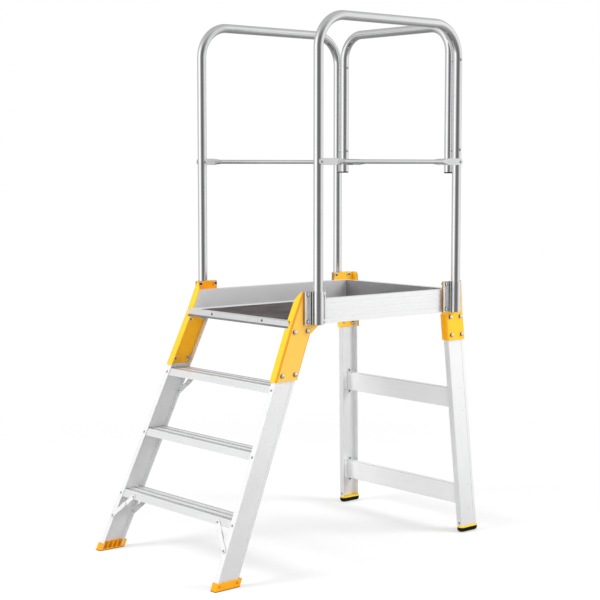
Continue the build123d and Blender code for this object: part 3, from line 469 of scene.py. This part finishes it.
def markGrooves(work):
    # painted shade, most of it in every other groove and behind them, on a top finish darker than the apron;
    # apron and nose take the second finish
    tone = work.faces.layers.float.new("shadeTone")
    top = max(vert.co.z for vert in work.verts)
    upper = [vert.co.y for vert in work.verts if top - vert.co.z < treadLines["from"]]
    front, back = min(upper), max(upper)
    for face in work.faces:
        place = face.calc_center_median()
        depth, share = top - place.z, (place.y - front) / (back - front)
        nose = depth < treadLines["from"] and share < treadLines["nose"]
        if nose or (face.normal.y < -facing and depth > treadLines["to"]):
            face.material_index = 1
        elif abs(face.normal.x) > askew or depth > treadLines["to"]:
            continue
        elif depth > treadLines["from"]:
            dark = any(abs(share - line) < treadLines["near"] for line in treadLines["dark"])
            face[tone] = 1.0 if dark else treadLines["soft"]
        elif share > treadLines["strip"]:
            face[tone] = treadLines["stripTone"]


def markBand(height):
    # painted shade: a dark band of the given height along the foot of a piece
    def mark(work):
        tone = work.faces.layers.float.new("shadeTone")
        line = min(vert.co.z for vert in work.verts) + height
        everything = work.verts[:] + work.edges[:] + work.faces[:]
        bmesh.ops.bisect_plane(work, geom=everything, dist=cutSlack, plane_co=(0.0, 0.0, line),
                               plane_no=(0.0, 0.0, 1.0))
        for face in work.faces:
            if face.calc_center_median().z < line:
                face[tone] = 1.0
    return mark


stileEdge = {"edge": 0.0004, "segments": 2}
for side in sides:
    dress(f"stile_{side}", "stileMetal", "satin_extrusion", **stileEdge)
    dress(f"rear_leg_{side}", "legMetal", "satin_extrusion", **stileEdge)
treadEdge = {"edge": 0.0011, "segments": 3}
for row in ("lower", "middle", "upper"):
    dress(f"tread_{row}", "treadMetal", "satin_extrusion", first=markGrooves, second="apronMetal", **treadEdge)
strapEdge = {"edge": 0.0006, "segments": 2}
for row in ("front", "rear", "upper"):
    for side in sides:
        dress(f"brace_{row}_{side}", "strapMetal", "satin_extrusion", **strapEdge)
crossbarEdge = {"edge": 0.0009, "segments": 2}
for row in ("upper", "lower"):
    dress(f"crossbar_{row}", "barMetal", "satin_extrusion", **crossbarEdge)
print("ladder and rear frame dressed")

boardEdge = {"edge": 0.00025, "segments": 2}
cove = {"size": 0.0055, "lift": 0.0003, "sink": 0.0005, "ledge": 0.020}


def addCove(mirror):
    # a small cove along a side board's inner foot, just over the deck
    def add(work):
        low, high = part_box("deck_panel")
        foot = high.z + cove["lift"]
        wall = mirror * (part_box("side_board_right")[0].x + cove["ledge"] + cove["sink"])
        reach = cove["size"] + cove["sink"]
        outline = ((wall, foot), (wall - mirror * reach, foot), (wall, foot + reach))
        first, second = ([work.verts.new((x, y, z)) for x, z in outline] for y in (low.y, high.y))
        faces = [work.faces.new(first), work.faces.new(second)]
        for index in range(3):
            after = (index + 1) % 3
            faces.append(work.faces.new((first[index], first[after], second[after], second[index])))
        bmesh.ops.recalc_face_normals(work, faces=faces)
        work.normal_update()
    return add


def markInside(work):
    # the face towards the ladder takes the second finish, a darker copy of the metal: painted shade
    for face in work.faces:
        face.material_index = int(face.normal.y < -facing)


for side, mirror in sides.items():
    dress(f"side_board_{side}", "boardMetal", "satin_extrusion", first=addCove(mirror), **boardEdge)
dress("rear_board", "crossBoardMetal", "satin_extrusion", first=markInside, second="rearBoardMetal",
      **boardEdge)
# painted shade: a dark band along the nosing's set-back drip
nosingDrip = 0.0075
dress("deck_nosing", "nosingMetal", "satin_extrusion", first=markBand(nosingDrip), **boardEdge)
deckEdge = {"edge": 0.0006, "segments": 2}
dress("deck_panel", "deckFilm", "deck_board", **deckEdge)
print("platform dressed")

plateEdge = {"edge": 0.0008, "segments": 2}
clampEdge = {"edge": 0.0005, "segments": 2}
footEdge = {"edge": 0.0009, "segments": 2}
valley = {"from": 0.0196, "to": 0.0246}
boot = {"sole": 0.0028, "from": 0.0055, "to": 0.021, "top": 0.0275, "end": 0.0115, "shade": 0.08}


def markValleys(work):
    # painted shade in the two narrow valleys beside a clamp's socket; what lies outside it takes the second
    # finish
    tone = work.faces.layers.float.new("shadeTone")
    places = [vert.co.y for vert in work.verts]
    middle = (min(places) + max(places)) / 2
    for face in work.faces:
        across = abs(face.calc_center_median().y - middle)
        face.material_index = int(across > valley["from"])
        if valley["from"] < across < valley["to"] and abs(face.normal.z) < askew:
            face[tone] = 1.0


def markBoot(work):
    # painted shade: the dark band along the foot and the shaded insides of the pockets
    markBand(boot["sole"])(work)
    tone = work.faces.layers.float["shadeTone"]
    inner = min(abs(vert.co.x) for vert in work.verts)
    ends = [vert.co.y for vert in work.verts]
    for face in work.faces:
        place = face.calc_center_median()
        deep = boot["from"] < abs(place.x) - inner < boot["to"] and boot["sole"] < place.z < boot["top"]
        if deep and min(ends) + boot["end"] < place.y < max(ends) - boot["end"]:
            face[tone] = boot["shade"]


for side in sides:
    dress(f"stile_backing_{side}", "backingPaint", "yellow_paint", **plateEdge)
    dress(f"leg_backing_{side}", "yellowPaint", "yellow_paint", **plateEdge)
    for end in ("front", "rear"):
        dress(f"rail_clamp_{end}_{side}", "clampMetal", "satin_extrusion", first=markValleys, second="ribMetal",
              **clampEdge)
        dress(f"clamp_packer_{end}_{side}", "packerPaint", "yellow_paint", **plateEdge)
    dress(f"front_foot_{side}", "yellowPlastic", "yellow_plastic", first=markBoot, **footEdge)
    dress(f"foot_collar_{side}", "collarPlastic", "yellow_plastic", **footEdge)
    dress(f"rear_foot_{side}", "blackRubber", "rubber_foot", **footEdge)
print("plates, clamps and feet dressed")

# folded brackets: flat panels share their fold lines, the folds are rounded and the sheet gets its plate
sheet = {"plate": 0.005, "foldRadius": 0.0062, "foldSteps": 6, "edge": 0.0006, "segments": 2, "upright": 0.319}
frontBracket = {"foot": 0.690, "gusset": 0.850, "corner": 0.895, "bend": 0.883, "top": 1.004,
                "frontAtFoot": -0.3642, "lean": 4 / 9, "outAtFoot": (0.3313, 0.3289), "depth": 0.1044,
                "back": -0.1282, "flange": 0.035, "tip": 0.009, "taper": 0.034, "return": 0.024,
                "turn": 0.020, "turnLean": 0.5, "turnSteps": 6, "notch": (0.873, 0.901), "notchHalf": 0.301,
                "foldShadeMark": 1.0}
rearBracket = {"foot": 0.770, "lip": 0.872, "corner": 0.873, "bend": 0.8825, "top": 1.004,
               "frontAtFoot": 0.5255, "lean": -0.0611, "outAtFoot": 0.3253, "depth": 0.0956,
               "front": 0.4968, "flange": 0.034, "round": 0.014, "roundSteps": 6, "foldShadeMark": 0.25}


def leaning(size):
    # a spot on the bracket's front plane, or the given way behind it
    return lambda out, z, behind=0.0: (
        out, size["frontAtFoot"] + size["lean"] * (z - size["foot"]) + behind, z)


def frontPanels():
    size, upright = frontBracket, sheet["upright"]
    spot = leaning(size)
    foot, bend, top, depth, half = (size[name] for name in ("foot", "bend", "top", "depth", "notchHalf"))
    frontOut, backOut = size["outAtFoot"]
    low, high = size["notch"]
    inner = upright - size["flange"]
    drift = (frontOut - upright) * (bend - low) / (bend - foot)
    outer = [spot(frontOut, foot), spot(upright, bend), spot(upright, top)]
    flange = outer + [spot(upright - size["tip"], top)]
    for step in range(1, size["turnSteps"]):
        share = step / size["turnSteps"]
        flange.append(spot(inner + size["turn"] * size["turnLean"] * (1 - share) ** 2,
                           top - size["taper"] + size["turn"] * ((1 - share) ** 2 - share ** 2)))
    flange += [spot(inner, high), spot(half, high), spot(half, low), spot(inner + drift, low),
               spot(frontOut - size["flange"], foot)]
    rear = [spot(backOut, foot, depth), spot(upright, size["gusset"], depth)]
    web = [outer[0], rear[0], rear[1], outer[1]]
    head = [outer[1], rear[1], (upright, size["back"], size["corner"]), (upright, size["back"], top), outer[2]]
    turned = [(out - size["return"], y, z) for out, y, z in rear]
    return [flange, web, head, [rear[0], turned[0], turned[1], rear[1]]], [outer, rear]


def rearPanels():
    size, upright = rearBracket, sheet["upright"]
    spot = leaning(size)
    foot, lip, bend, top, out, depth = (
        size[name] for name in ("foot", "lip", "bend", "top", "outAtFoot", "depth"))
    lipOut = upright + (out - upright) * (bend - lip) / (bend - foot)
    front = [spot(out, foot), spot(lipOut, lip)]
    flange = front + [spot(lipOut - size["flange"], lip), spot(out - size["flange"], foot)]
    rear = [spot(out, foot, depth), spot(upright, bend, depth), spot(upright, top, depth)]
    web = [front[0], rear[0], rear[1], front[1]]
    head = [front[1], rear[1], rear[2], (upright, size["front"], top), (upright, size["front"], size["corner"])]
    inner = upright - size["flange"]
    ear = [rear[0], spot(out - size["flange"], foot, depth), spot(inner, bend, depth)]
    for step in range(size["roundSteps"] + 1):
        angle = math.pi / 2 * step / size["roundSteps"]
        ear.append(spot(inner + size["round"] * (1 - math.cos(angle)),
                        top - size["round"] * (1 - math.sin(angle)), depth))
    return [flange, web, head, ear + [rear[2], rear[1]]], [front, rear]


def foldedSheet(nodeName, panels, folds, mirror, foldShadeMark, outside, inside, flange):
    # the first panel is the front flange, the second the web
    work = bmesh.new()
    corners = {point: work.verts.new((point[0] * mirror, point[1], point[2]))
               for point in dict.fromkeys(point for panel in panels for point in panel)}
    for panel in panels:
        work.faces.new([corners[point] for point in panel])
    bmesh.ops.recalc_face_normals(work, faces=work.faces)
    work.faces.ensure_lookup_table()
    if work.faces[1].normal.x * mirror < 0:
        bmesh.ops.reverse_faces(work, faces=work.faces)
    finishes = (outside, "cutPaint", inside, flange)
    work.faces[0].material_index = len(finishes) - 1
    lines = [work.edges.get((corners[first], corners[second]))
             for fold in folds for first, second in zip(fold, fold[1:])]
    work.faces.layers.float.new("foldShadeTone")
    roundEdges(work, lines, sheet["foldRadius"], sheet["foldSteps"], "foldShadeTone", foldShadeMark)
    piece = formedPiece(camel(nodeName), work, *finishes)
    # the cut rim takes the next finish, dark with painted shade, the inner wall the one after
    mesh = thicken(piece, sheet["plate"], use_even_offset=True, material_offset_rim=1, material_offset=2)
    work = bmesh.new()
    work.from_mesh(mesh)
    breakEdges(work, sheet["edge"], sheet["segments"])
    work.to_mesh(mesh)
    work.free()
    settle(piece, "yellow_paint", nodeName)


# rear flanges: painted light on the left one, painted shade on the right one
rearFlanges = {"left": "palePaint", "right": "flangePaint"}
for side, mirror in sides.items():
    # front brackets: painted sheen on the outer web, painted shade on the inner wall
    foldedSheet(f"front_bracket_{side}", *frontPanels(), mirror, frontBracket["foldShadeMark"],
                "webPaint", "insidePaint", "yellowPaint")
    foldedSheet(f"rear_bracket_{side}", *rearPanels(), mirror, rearBracket["foldShadeMark"],
                "yellowPaint", "yellowPaint", rearFlanges[side])
print("brackets folded")

rodEdge = {"edge": 0.0004, "segments": 2}
for side in sides:
    dress(f"midrail_{side}", "rodMetal", "bright_tube", **rodEdge)
dress("midrail_rear", "rearRodMetal", "bright_tube", **rodEdge)
dress("rail_spacers", "zincPlate", "plated_fastener", **rodEdge)
dress("rail_end_caps", "blackPlastic", "black_plastic", **rodEdge)


def newTree(name, sizes, counts=()):
    tree = bpy.data.node_groups.new(name, "GeometryNodeTree")
    tree.is_modifier = True
    kinds = {"Geometry": "Geometry", **dict.fromkeys(sizes, "Float"), **dict.fromkeys(counts, "Int"),
             "Finish": "Material"}
    for label, kind in kinds.items():
        tree.interface.new_socket(label, in_out="INPUT", socket_type=f"NodeSocket{kind}")
    tree.interface.new_socket("Geometry", in_out="OUTPUT", socket_type="NodeSocketGeometry")
    return tree, addNode(tree, "NodeGroupInput").outputs


def closeTree(tree, given, geometry):
    real = addNode(tree, "GeometryNodeRealizeInstances", {"Geometry": geometry})
    done = addNode(tree, "GeometryNodeSetMaterial", {"Geometry": real.outputs[0], "Material": given["Finish"]})
    addNode(tree, "NodeGroupOutput", {"Geometry": done.outputs[0]})


def growPiece(name, tree, start, finish, sizes):
    piece = newPiece(name, start)
    values = {**sizes, "Finish": bpy.data.materials[finish]}
    modifier = piece.modifiers.new(tree.name, "NODES")
    modifier.node_group = tree
    for item in tree.interface.items_tree:
        if item.in_out == "INPUT" and item.name in values:
            modifier[item.identifier] = values[item.name]
    mesh = plainMesh(piece)
    while mesh.materials[0] is None:
        mesh.materials.pop(index=0)
    return piece


def keep(tree, geometry, name, value, kind):
    # each point keeps the value under the given name
    return addNode(tree, "GeometryNodeStoreNamedAttribute", {
        "Geometry": geometry, "Name": name, "Value": value}, data_type=kind, domain="POINT").outputs[0]


def position(tree):
    return addNode(tree, "GeometryNodeInputPosition").outputs[0]


def cylinder(tree, vertices, radius, depth):
    return addNode(tree, "GeometryNodeMeshCylinder", {
        "Vertices": vertices, "Radius": radius, "Depth": depth}).outputs["Mesh"]


def upward(tree, height):
    return addNode(tree, "ShaderNodeCombineXYZ", {2: height}).outputs[0]


def raised(tree, geometry, height):
    return addNode(tree, "GeometryNodeTransform", {
        "Geometry": geometry, "Translation": upward(tree, height)}).outputs[0]


def joined(tree, *parts):
    whole = addNode(tree, "GeometryNodeJoinGeometry")
    for part in parts:
        tree.links.new(part, whole.inputs[0])
    return whole.outputs[0]


def atSeats(tree, given, geometry, **scale):
    # the geometry at every seat, turned to the seat's axis
    axis = addNode(tree, "GeometryNodeInputNamedAttribute", {"Name": "axis"}, data_type="FLOAT_VECTOR")
    turn = addNode(tree, "FunctionNodeAlignRotationToVector", {"Vector": axis.outputs[0]}, axis="Z")
    return addNode(tree, "GeometryNodeInstanceOnPoints", {
        "Points": given["Geometry"], "Instance": geometry, "Rotation": turn.outputs[0], **scale}).outputs[0]


# bent tube: a corner path is rounded, then a ring is swept along it
tubeTree, given = newTree("bentTube", ("Bend Radius", "Tube Radius"), ("Bend Steps", "Ring Steps"))
path = addNode(tubeTree, "GeometryNodeMeshToCurve", {"Mesh": given["Geometry"]})
bent = addNode(tubeTree, "GeometryNodeFilletCurve", {
    "Curve": path.outputs[0], "Count": given["Bend Steps"], "Radius": given["Bend Radius"]}, mode="POLY")
along = addNode(tubeTree, "GeometryNodeSplineParameter").outputs["Length"]
ring = addNode(tubeTree, "GeometryNodeCurvePrimitiveCircle", {
    "Resolution": given["Ring Steps"], "Radius": given["Tube Radius"]}, mode="RADIUS")
swept = addNode(tubeTree, "GeometryNodeCurveToMesh", {
    "Curve": keep(tubeTree, bent.outputs[0], "tubeAlong", along, "FLOAT"),
    "Profile Curve": keep(tubeTree, ring.outputs[0], "tubeRound", position(tubeTree), "FLOAT_VECTOR")})
closeTree(tubeTree, given, swept.outputs[0])

rail = {"tubeRadius": 0.0175, "wall": 0.002, "sideBend": 0.122, "rearBend": 0.100,
        "bendSteps": 20, "ringSteps": 40}


def bentRail(nodeName, spanAxis, bendRadius):
    # two posts and a top bar, worked out from the node's box
    low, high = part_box(nodeName)
    radius = rail["tubeRadius"]
    corners = []
    for end, height in ((low, low.z), (low, high.z - radius), (high, high.z - radius), (high, low.z)):
        corner = (low + high) / 2
        corner[spanAxis] = end[spanAxis] + (radius if end is low else -radius)
        corner.z = height
        corners.append(corner)
    start = bpy.data.meshes.new(camel(nodeName))
    start.from_pydata(corners, [(0, 1), (1, 2), (2, 3)], [])
    piece = growPiece(camel(nodeName), tubeTree, start, "tubeMetal", {
        "Bend Radius": bendRadius, "Tube Radius": radius, "Bend Steps": rail["bendSteps"],
        "Ring Steps": rail["ringSteps"]})
    thicken(piece, rail["wall"])
    settle(piece, "bright_tube", nodeName)


for side in sides:
    bentRail(f"guardrail_{side}", alongY, rail["sideBend"])
bentRail("guardrail_rear", alongX, rail["rearBend"])
print("guardrails swept")

sideCounts = {"crown": 6, "shank": 16, "nut": 6, "ball": 32, "ballRings": 16, "tail": 20, "washer": 32}

# fastener heads: a domed head with a drive recess, a washer and a shank at every seat
headTree, given = newTree("fastenerHead", (
    "Head Radius", "Head Height", "Rim", "Recess Radius", "Recess Depth", "Washer Radius", "Washer Height",
    "Shank Radius"), ("Recess Sides", "Head Sides"))
blank = addNode(headTree, "GeometryNodeMeshCylinder", {
    "Vertices": given["Head Sides"], "Fill Segments": sideCounts["crown"], "Radius": given["Head Radius"],
    "Depth": mathNode(headTree, "MULTIPLY", given["Rim"], 2.0)}, fill_type="TRIANGLE_FAN")
spot = addNode(headTree, "ShaderNodeSeparateXYZ", {0: position(headTree)}).outputs
flat = addNode(headTree, "ShaderNodeCombineXYZ", {0: spot[0], 1: spot[1]}).outputs[0]
share = mathNode(headTree, "DIVIDE", lengthOf(headTree, flat), given["Head Radius"])
crown = mathNode(headTree, "MULTIPLY", given["Head Height"], mathNode(
    headTree, "SUBTRACT", 1.0, mathNode(headTree, "POWER", share, 2.0)))
lift = mathNode(headTree, "MULTIPLY", crown, mathNode(headTree, "GREATER_THAN", spot[2], 0.0))
domed = addNode(headTree, "GeometryNodeSetPosition", {
    "Geometry": blank.outputs["Mesh"], "Offset": upward(headTree, lift)})
drill = cylinder(headTree, given["Recess Sides"], given["Recess Radius"],
                 mathNode(headTree, "MULTIPLY", given["Recess Depth"], 2.0))
drilled = addNode(headTree, "GeometryNodeMeshBoolean", {
    "Mesh 1": domed.outputs[0],
    "Mesh 2": raised(headTree, drill, mathNode(headTree, "ADD", given["Head Height"], given["Rim"]))},
    operation="DIFFERENCE", solver="EXACT").outputs["Mesh"]
washer = cylinder(headTree, given["Head Sides"], given["Washer Radius"], given["Washer Height"])
head = joined(headTree,
              raised(headTree, drilled, mathNode(headTree, "ADD", given["Rim"], given["Washer Height"])),
              raised(headTree, washer, mathNode(headTree, "MULTIPLY", given["Washer Height"], 0.5)))
shank = cylinder(headTree, sideCounts["shank"], given["Shank Radius"], 1.0)  # stretched to the grip
grip = addNode(headTree, "GeometryNodeInputNamedAttribute", {"Name": "grip"}, data_type="FLOAT").outputs[0]
stretch = addNode(headTree, "ShaderNodeCombineXYZ", {0: 1.0, 1: 1.0, 2: grip}).outputs[0]
closeTree(headTree, given, joined(headTree, atSeats(headTree, given, head), atSeats(
    headTree, given, raised(headTree, shank, -0.5), Scale=stretch)))

# nuts: a six-sided prism with its corners turned off, the bolt's tail and a washer
nutTree, given = newTree("cornerNut", ("Across Corners", "Height", "Corner Ball", "Tail Radius", "Tail",
                                       "Washer Radius", "Washer Height"))
prism = cylinder(nutTree, sideCounts["nut"], mathNode(nutTree, "MULTIPLY", given["Across Corners"], 0.5),
                 given["Height"])
ball = addNode(nutTree, "GeometryNodeMeshUVSphere", {
    "Segments": sideCounts["ball"], "Rings": sideCounts["ballRings"], "Radius": given["Corner Ball"]})
body = addNode(nutTree, "GeometryNodeMeshBoolean", {"Mesh 2": prism}, operation="INTERSECT", solver="EXACT")
nutTree.links.new(ball.outputs["Mesh"], body.inputs["Mesh 2"])
tail = cylinder(nutTree, sideCounts["tail"], given["Tail Radius"],
                mathNode(nutTree, "MULTIPLY_ADD", given["Tail"], 2.0, given["Height"]))
washer = cylinder(nutTree, sideCounts["washer"], given["Washer Radius"], given["Washer Height"])
drop = mathNode(nutTree, "SUBTRACT", given["Washer Height"], given["Height"])
nut = joined(nutTree, body.outputs["Mesh"], tail,
             raised(nutTree, washer, mathNode(nutTree, "MULTIPLY", drop, 0.5)))
closeTree(nutTree, given, atSeats(nutTree, given, nut))


def looseSolids(nodeName):
    # corner points of each separate solid in a node
    work = mergedCopy(nodeName)
    seen, solids = set(), []
    for vert in work.verts:
        if vert in seen:
            continue
        seen.add(vert)
        queue, corners = [vert], []
        while queue:
            corner = queue.pop()
            corners.append(tuple(corner.co))
            for edge in corner.link_edges:
                other = edge.other_vert(corner)
                if other not in seen:
                    seen.add(other)
                    queue.append(other)
        solids.append(numpy.array(corners))
    work.free()
    return solids


def ringFit(points):
    # centre and axis of a flat ring of points
    middle = points.mean(axis=0)
    axes = numpy.linalg.svd(points - middle)[2]
    flat = (points - middle) @ axes[:2].T
    rows = numpy.column_stack((2 * flat, numpy.ones(len(flat))))
    answer = numpy.linalg.lstsq(rows, (flat ** 2).sum(axis=1), rcond=None)[0]
    return middle + answer[:2] @ axes[:2], axes[2]


ringSearch = {"widest": 0.96, "slack": 0.0001, "rounds": 3}


def wideRings(points):
    # seat, outward axis and grip at the widest ring of a turned solid, or at both ends if they match
    offset = points - points.mean(axis=0)
    sizes, axes = numpy.linalg.eigh(offset.T @ offset)
    middle, axis = points.mean(axis=0), axes[:, 2 if sizes[2] - sizes[1] > sizes[1] - sizes[0] else 0]
    for _ in range(ringSearch["rounds"]):
        along = (points - middle) @ axis
        reach = numpy.linalg.norm(points - middle - numpy.outer(along, axis), axis=1)
        wide = reach > reach.max() * ringSearch["widest"]
        upper = wide & (along > along[wide].mean() - ringSearch["slack"])
        middle, axis = ringFit(points[upper])
        if axis @ (points.mean(axis=0) - middle) > 0:
            axis = -axis
    along = (points - middle) @ axis
    other = along[wide & ~upper]
    if not len(other):
        return [(middle, axis, -along.min())]
    half = -other.mean() / 2
    return [(middle, axis, half), (middle - axis * half * 2, -axis, half)]


def seatMesh(name, seats):
    mesh = bpy.data.meshes.new(name)
    mesh.from_pydata([tuple(seat[0]) for seat in seats], [], [])
    mesh.attributes.new("axis", "FLOAT_VECTOR", "POINT")
    mesh.attributes.new("grip", "FLOAT", "POINT")
    for index, (_, towards, length) in enumerate(seats):
        mesh.attributes["axis"].data[index].vector = Vector(towards)
        mesh.attributes["grip"].data[index].value = length
    return mesh


def fasteners(nodeName, sizes, finish, second=None, takesSecond=None):
    seats = [seat for points in looseSolids(nodeName) for seat in wideRings(points)]
    piece = growPiece(camel(nodeName), headTree, seatMesh(nodeName, seats), finish, sizes)
    if second:
        piece.data.materials.append(bpy.data.materials[second])
        last = len(piece.data.materials) - 1
        for face in piece.data.polygons:
            if takesSecond(face):
                face.material_index = last
    settle(piece, "plated_fastener", nodeName)


boltHead = {"Head Radius": 0.0075, "Head Height": 0.0010, "Rim": 0.0026, "Recess Radius": 0.0012,
            "Recess Depth": 0.0005, "Washer Radius": 0.0075, "Washer Height": 0.00001, "Shank Radius": 0.004,
            "Recess Sides": 6, "Head Sides": 32}
rivetHead = {"Head Radius": 0.00475, "Head Height": 0.0015, "Rim": 0.00025, "Recess Radius": 0.0013,
             "Recess Depth": 0.0007, "Washer Radius": 0.0046, "Washer Height": 0.00001, "Shank Radius": 0.0025,
             "Recess Sides": 14, "Head Sides": 24}
railBolt = {**boltHead, "Head Radius": 0.006, "Head Height": 0.0032, "Rim": 0.0002, "Recess Radius": 0.0022,
            "Recess Depth": 0.0012, "Washer Radius": 0.006, "Shank Radius": 0.003}
deckScrew = {**rivetHead, "Head Radius": 0.0048, "Recess Radius": 0.0016, "Recess Depth": 0.0012,
             "Recess Sides": 6}
sideBelow, outerAbove = 0.5, 0.2  # a bolt head's upright sides, and a crossbar rivet's end at the leg
# the heads' upright sides take a near-black copy of the steel: painted shade
fasteners("frame_bolts", boltHead, "zincPlate", "boltSide", lambda face: abs(face.normal.x) < sideBelow)
for place in ("tread", "brace"):
    fasteners(f"{place}_rivets", rivetHead, "rivetSteel")
fasteners("crossbar_rivets", rivetHead, "screwSteel", "legMetal",
          lambda face: face.normal.x * face.center.x > outerAbove)
fasteners("foot_rivets", rivetHead, "rivetSteel", "plugPlastic", lambda face: face.center.y < 0)
fasteners("midrail_rivets", railBolt, "zincPlate")
fasteners("rail_joint_bolts", railBolt, "zincPlate")
fasteners("deck_screws", deckScrew, "screwSteel")

nutSize = {"Across Corners": 0.015, "Height": 0.0065, "Corner Ball": 0.0077, "Tail Radius": 0.0039,
           "Tail": 0.0025, "Washer Radius": 0.0078, "Washer Height": 0.001}
nutSeats = []
for points in looseSolids("frame_nuts"):
    near, far = wideRings(points)
    inward = near if near[1][0] * near[0][0] < 0 else far
    nutSeats.append(((near[0] + far[0]) / 2, inward[1], 0.0))
settle(growPiece("frameNuts", nutTree, seatMesh("frameNuts", nutSeats), "zincPlate", nutSize),
       "plated_fastener", "frame_nuts")
print("fasteners set")

pureWhite = (1.0, 1.0, 1.0)
studio = {"floorSize": 40.0, "floorSides": 64, "floorDrop": 0.0005, "floorPlain": (0.80, 0.80, 0.80),
          "floorGlow": 0.30, "floorWhite": 0.89, "shadowReach": (0.9, 3.2), "ambient": 0.70}


def seenRay(tree):
    path = addNode(tree, "ShaderNodeLightPath").outputs
    return mathNode(tree, "MAXIMUM", path["Is Camera Ray"], mathNode(
        tree, "MAXIMUM", path["Is Glossy Ray"], path["Is Transmission Ray"]))


def stagePiece(name, fill, finish):
    work = bmesh.new()
    fill(work)
    piece = formedPiece(name, work, finish)
    return piece


def disc(radius):
    return lambda work: bmesh.ops.create_circle(
        work, cap_ends=True, radius=radius, segments=studio["floorSides"])


# pale floor: white where it is seen, with the object's soft shadow kept
tree = emptyFinish("paleFloor")
plain = addNode(tree, "ShaderNodeBsdfDiffuse", {"Color": studio["floorPlain"]})
white = addNode(tree, "ShaderNodeBsdfDiffuse", {"Color": [studio["floorWhite"]] * 3})
glow = addNode(tree, "ShaderNodeEmission", {"Color": pureWhite, "Strength": 1.0})
share = spread(tree, lengthOf(tree, objectCoords(tree)), studio["floorGlow"], 1.0, studio["shadowReach"],
               interpolation_type="SMOOTHSTEP")
lit = addNode(tree, "ShaderNodeMixShader", {0: share, 1: white.outputs[0], 2: glow.outputs[0]})
showSurface(tree, addNode(tree, "ShaderNodeMixShader", {
    0: seenRay(tree), 1: plain.outputs[0], 2: lit.outputs[0]}))
floor = stagePiece("floor", disc(studio["floorSize"]), "paleFloor")
floor.location.z = -studio["floorDrop"]

# studio surround that only the gloss sees: bright screens, dark behind the camera, grey behind the object
surround = {"radius": 9.0, "rows": 32, "foot": -0.4, "overhead": 0.50, "overheadReach": (0.50, 0.97),
            "tones": ((-180, 0.50), (-138, 0.66), (-112, 1.12), (-86, 1.06), (-66, 0.30), (-42, 0.15),
                      (-17, 0.14), (4, 0.26), (29, 0.68), (57, 0.92), (99, 0.56), (140, 0.45), (180, 0.50))}


def bearingTone(tree):
    # the screens' tone by compass bearing, and how steeply up a spot lies
    ray = addNode(tree, "ShaderNodeSeparateXYZ", {0: addNode(
        tree, "ShaderNodeVectorMath", {0: objectCoords(tree)}, operation="NORMALIZE").outputs[0]}).outputs
    bearing = mathNode(tree, "MULTIPLY_ADD", mathNode(tree, "ARCTAN2", ray[1], ray[0]), 0.5 / math.pi, 0.5)
    ramp = addNode(tree, "ShaderNodeValToRGB", {0: bearing})
    stops = ramp.color_ramp.elements
    for degrees, _ in surround["tones"][1:-1]:
        stops.new(degrees / 360 + 0.5)
    for stop, (_, tone) in zip(stops, surround["tones"]):
        stop.color = (tone, tone, tone, 1.0)
    ramp.color_ramp.interpolation = "EASE"
    return ramp.outputs[0], ray[2]


def openDome(work):
    bmesh.ops.create_uvsphere(work, u_segments=studio["floorSides"], v_segments=surround["rows"],
                              radius=surround["radius"])
    low = [vert for vert in work.verts if vert.co.z < surround["foot"]]
    bmesh.ops.delete(work, geom=low, context="VERTS")


tree = emptyFinish("screenTone")
around, steep = bearingTone(tree)
height = spread(tree, steep, 0.0, 1.0, surround["overheadReach"], interpolation_type="SMOOTHSTEP")
showSurface(tree, addNode(tree, "ShaderNodeEmission", {
    "Color": blend(tree, height, around, [surround["overhead"]] * 3), "Strength": 1.0}))
dome = stagePiece("surround", openDome, "screenTone")

# grey carpet under the object that only the gloss sees, out to the screens
carpet = {"radius": 9.1, "from": 0.4, "middle": 0.20, "drop": 0.0003}
tree = emptyFinish("carpetTone")
share = spread(tree, lengthOf(tree, objectCoords(tree)), 0.0, 1.0, (carpet["from"], carpet["radius"]))
showSurface(tree, addNode(tree, "ShaderNodeEmission", {
    "Color": blend(tree, share, [carpet["middle"]] * 3, bearingTone(tree)[0]), "Strength": 1.0}))
ground = stagePiece("carpet", disc(carpet["radius"]), "carpetTone")
ground.location.z = -carpet["drop"]
for piece in (dome, ground):
    for kind in ("camera", "diffuse", "transmission", "volume_scatter", "shadow"):
        setattr(piece, f"visible_{kind}", False)

world = bpy.data.worlds.new("studio")
scene.world = world
world.use_nodes = True
tree = world.node_tree
tree.nodes.clear()
showSurface(tree, addNode(tree, "ShaderNodeBackground", {
    "Color": pureWhite, "Strength": spread(tree, seenRay(tree), studio["ambient"], 1.0, (0.0, 1.0))}),
    "ShaderNodeOutputWorld")

lampAim = Vector((0.0, 0.0, 0.9))
lamps = {"frontKey": ((-1.3, -4.4, 3.9), 2.6, 182.0), "rightFill": ((3.4, 3.3, 3.6), 2.6, 160.0),
         "viewFill": ((3.9, -3.6, 1.3), 3.0, 70.0)}  # place, size in metres and power in watts
for name, (place, size, power) in lamps.items():
    lamp = bpy.data.lights.new(name, "AREA")
    lamp.shape = "DISK"
    lamp.size = size
    lamp.energy = power
    holder = newPiece(name, lamp)
    holder.location = place
    holder.rotation_euler = (lampAim - Vector(place)).to_track_quat("-Z", "Y").to_euler()
    holder.visible_glossy = False
print("studio lit")

photoView = {"place": (4.25185, -3.63754, 1.45757), "turn": (1.4785067, 0.0, 0.8582865), "lens": 87.547,
             "sensor": 36.0}
cameraData = bpy.data.cameras.new("photoCamera")
cameraData.sensor_width = photoView["sensor"]
cameraData.lens = photoView["lens"]
camera = newPiece("photoCamera", cameraData)
camera.location = photoView["place"]
camera.rotation_euler = photoView["turn"]
scene.camera = camera
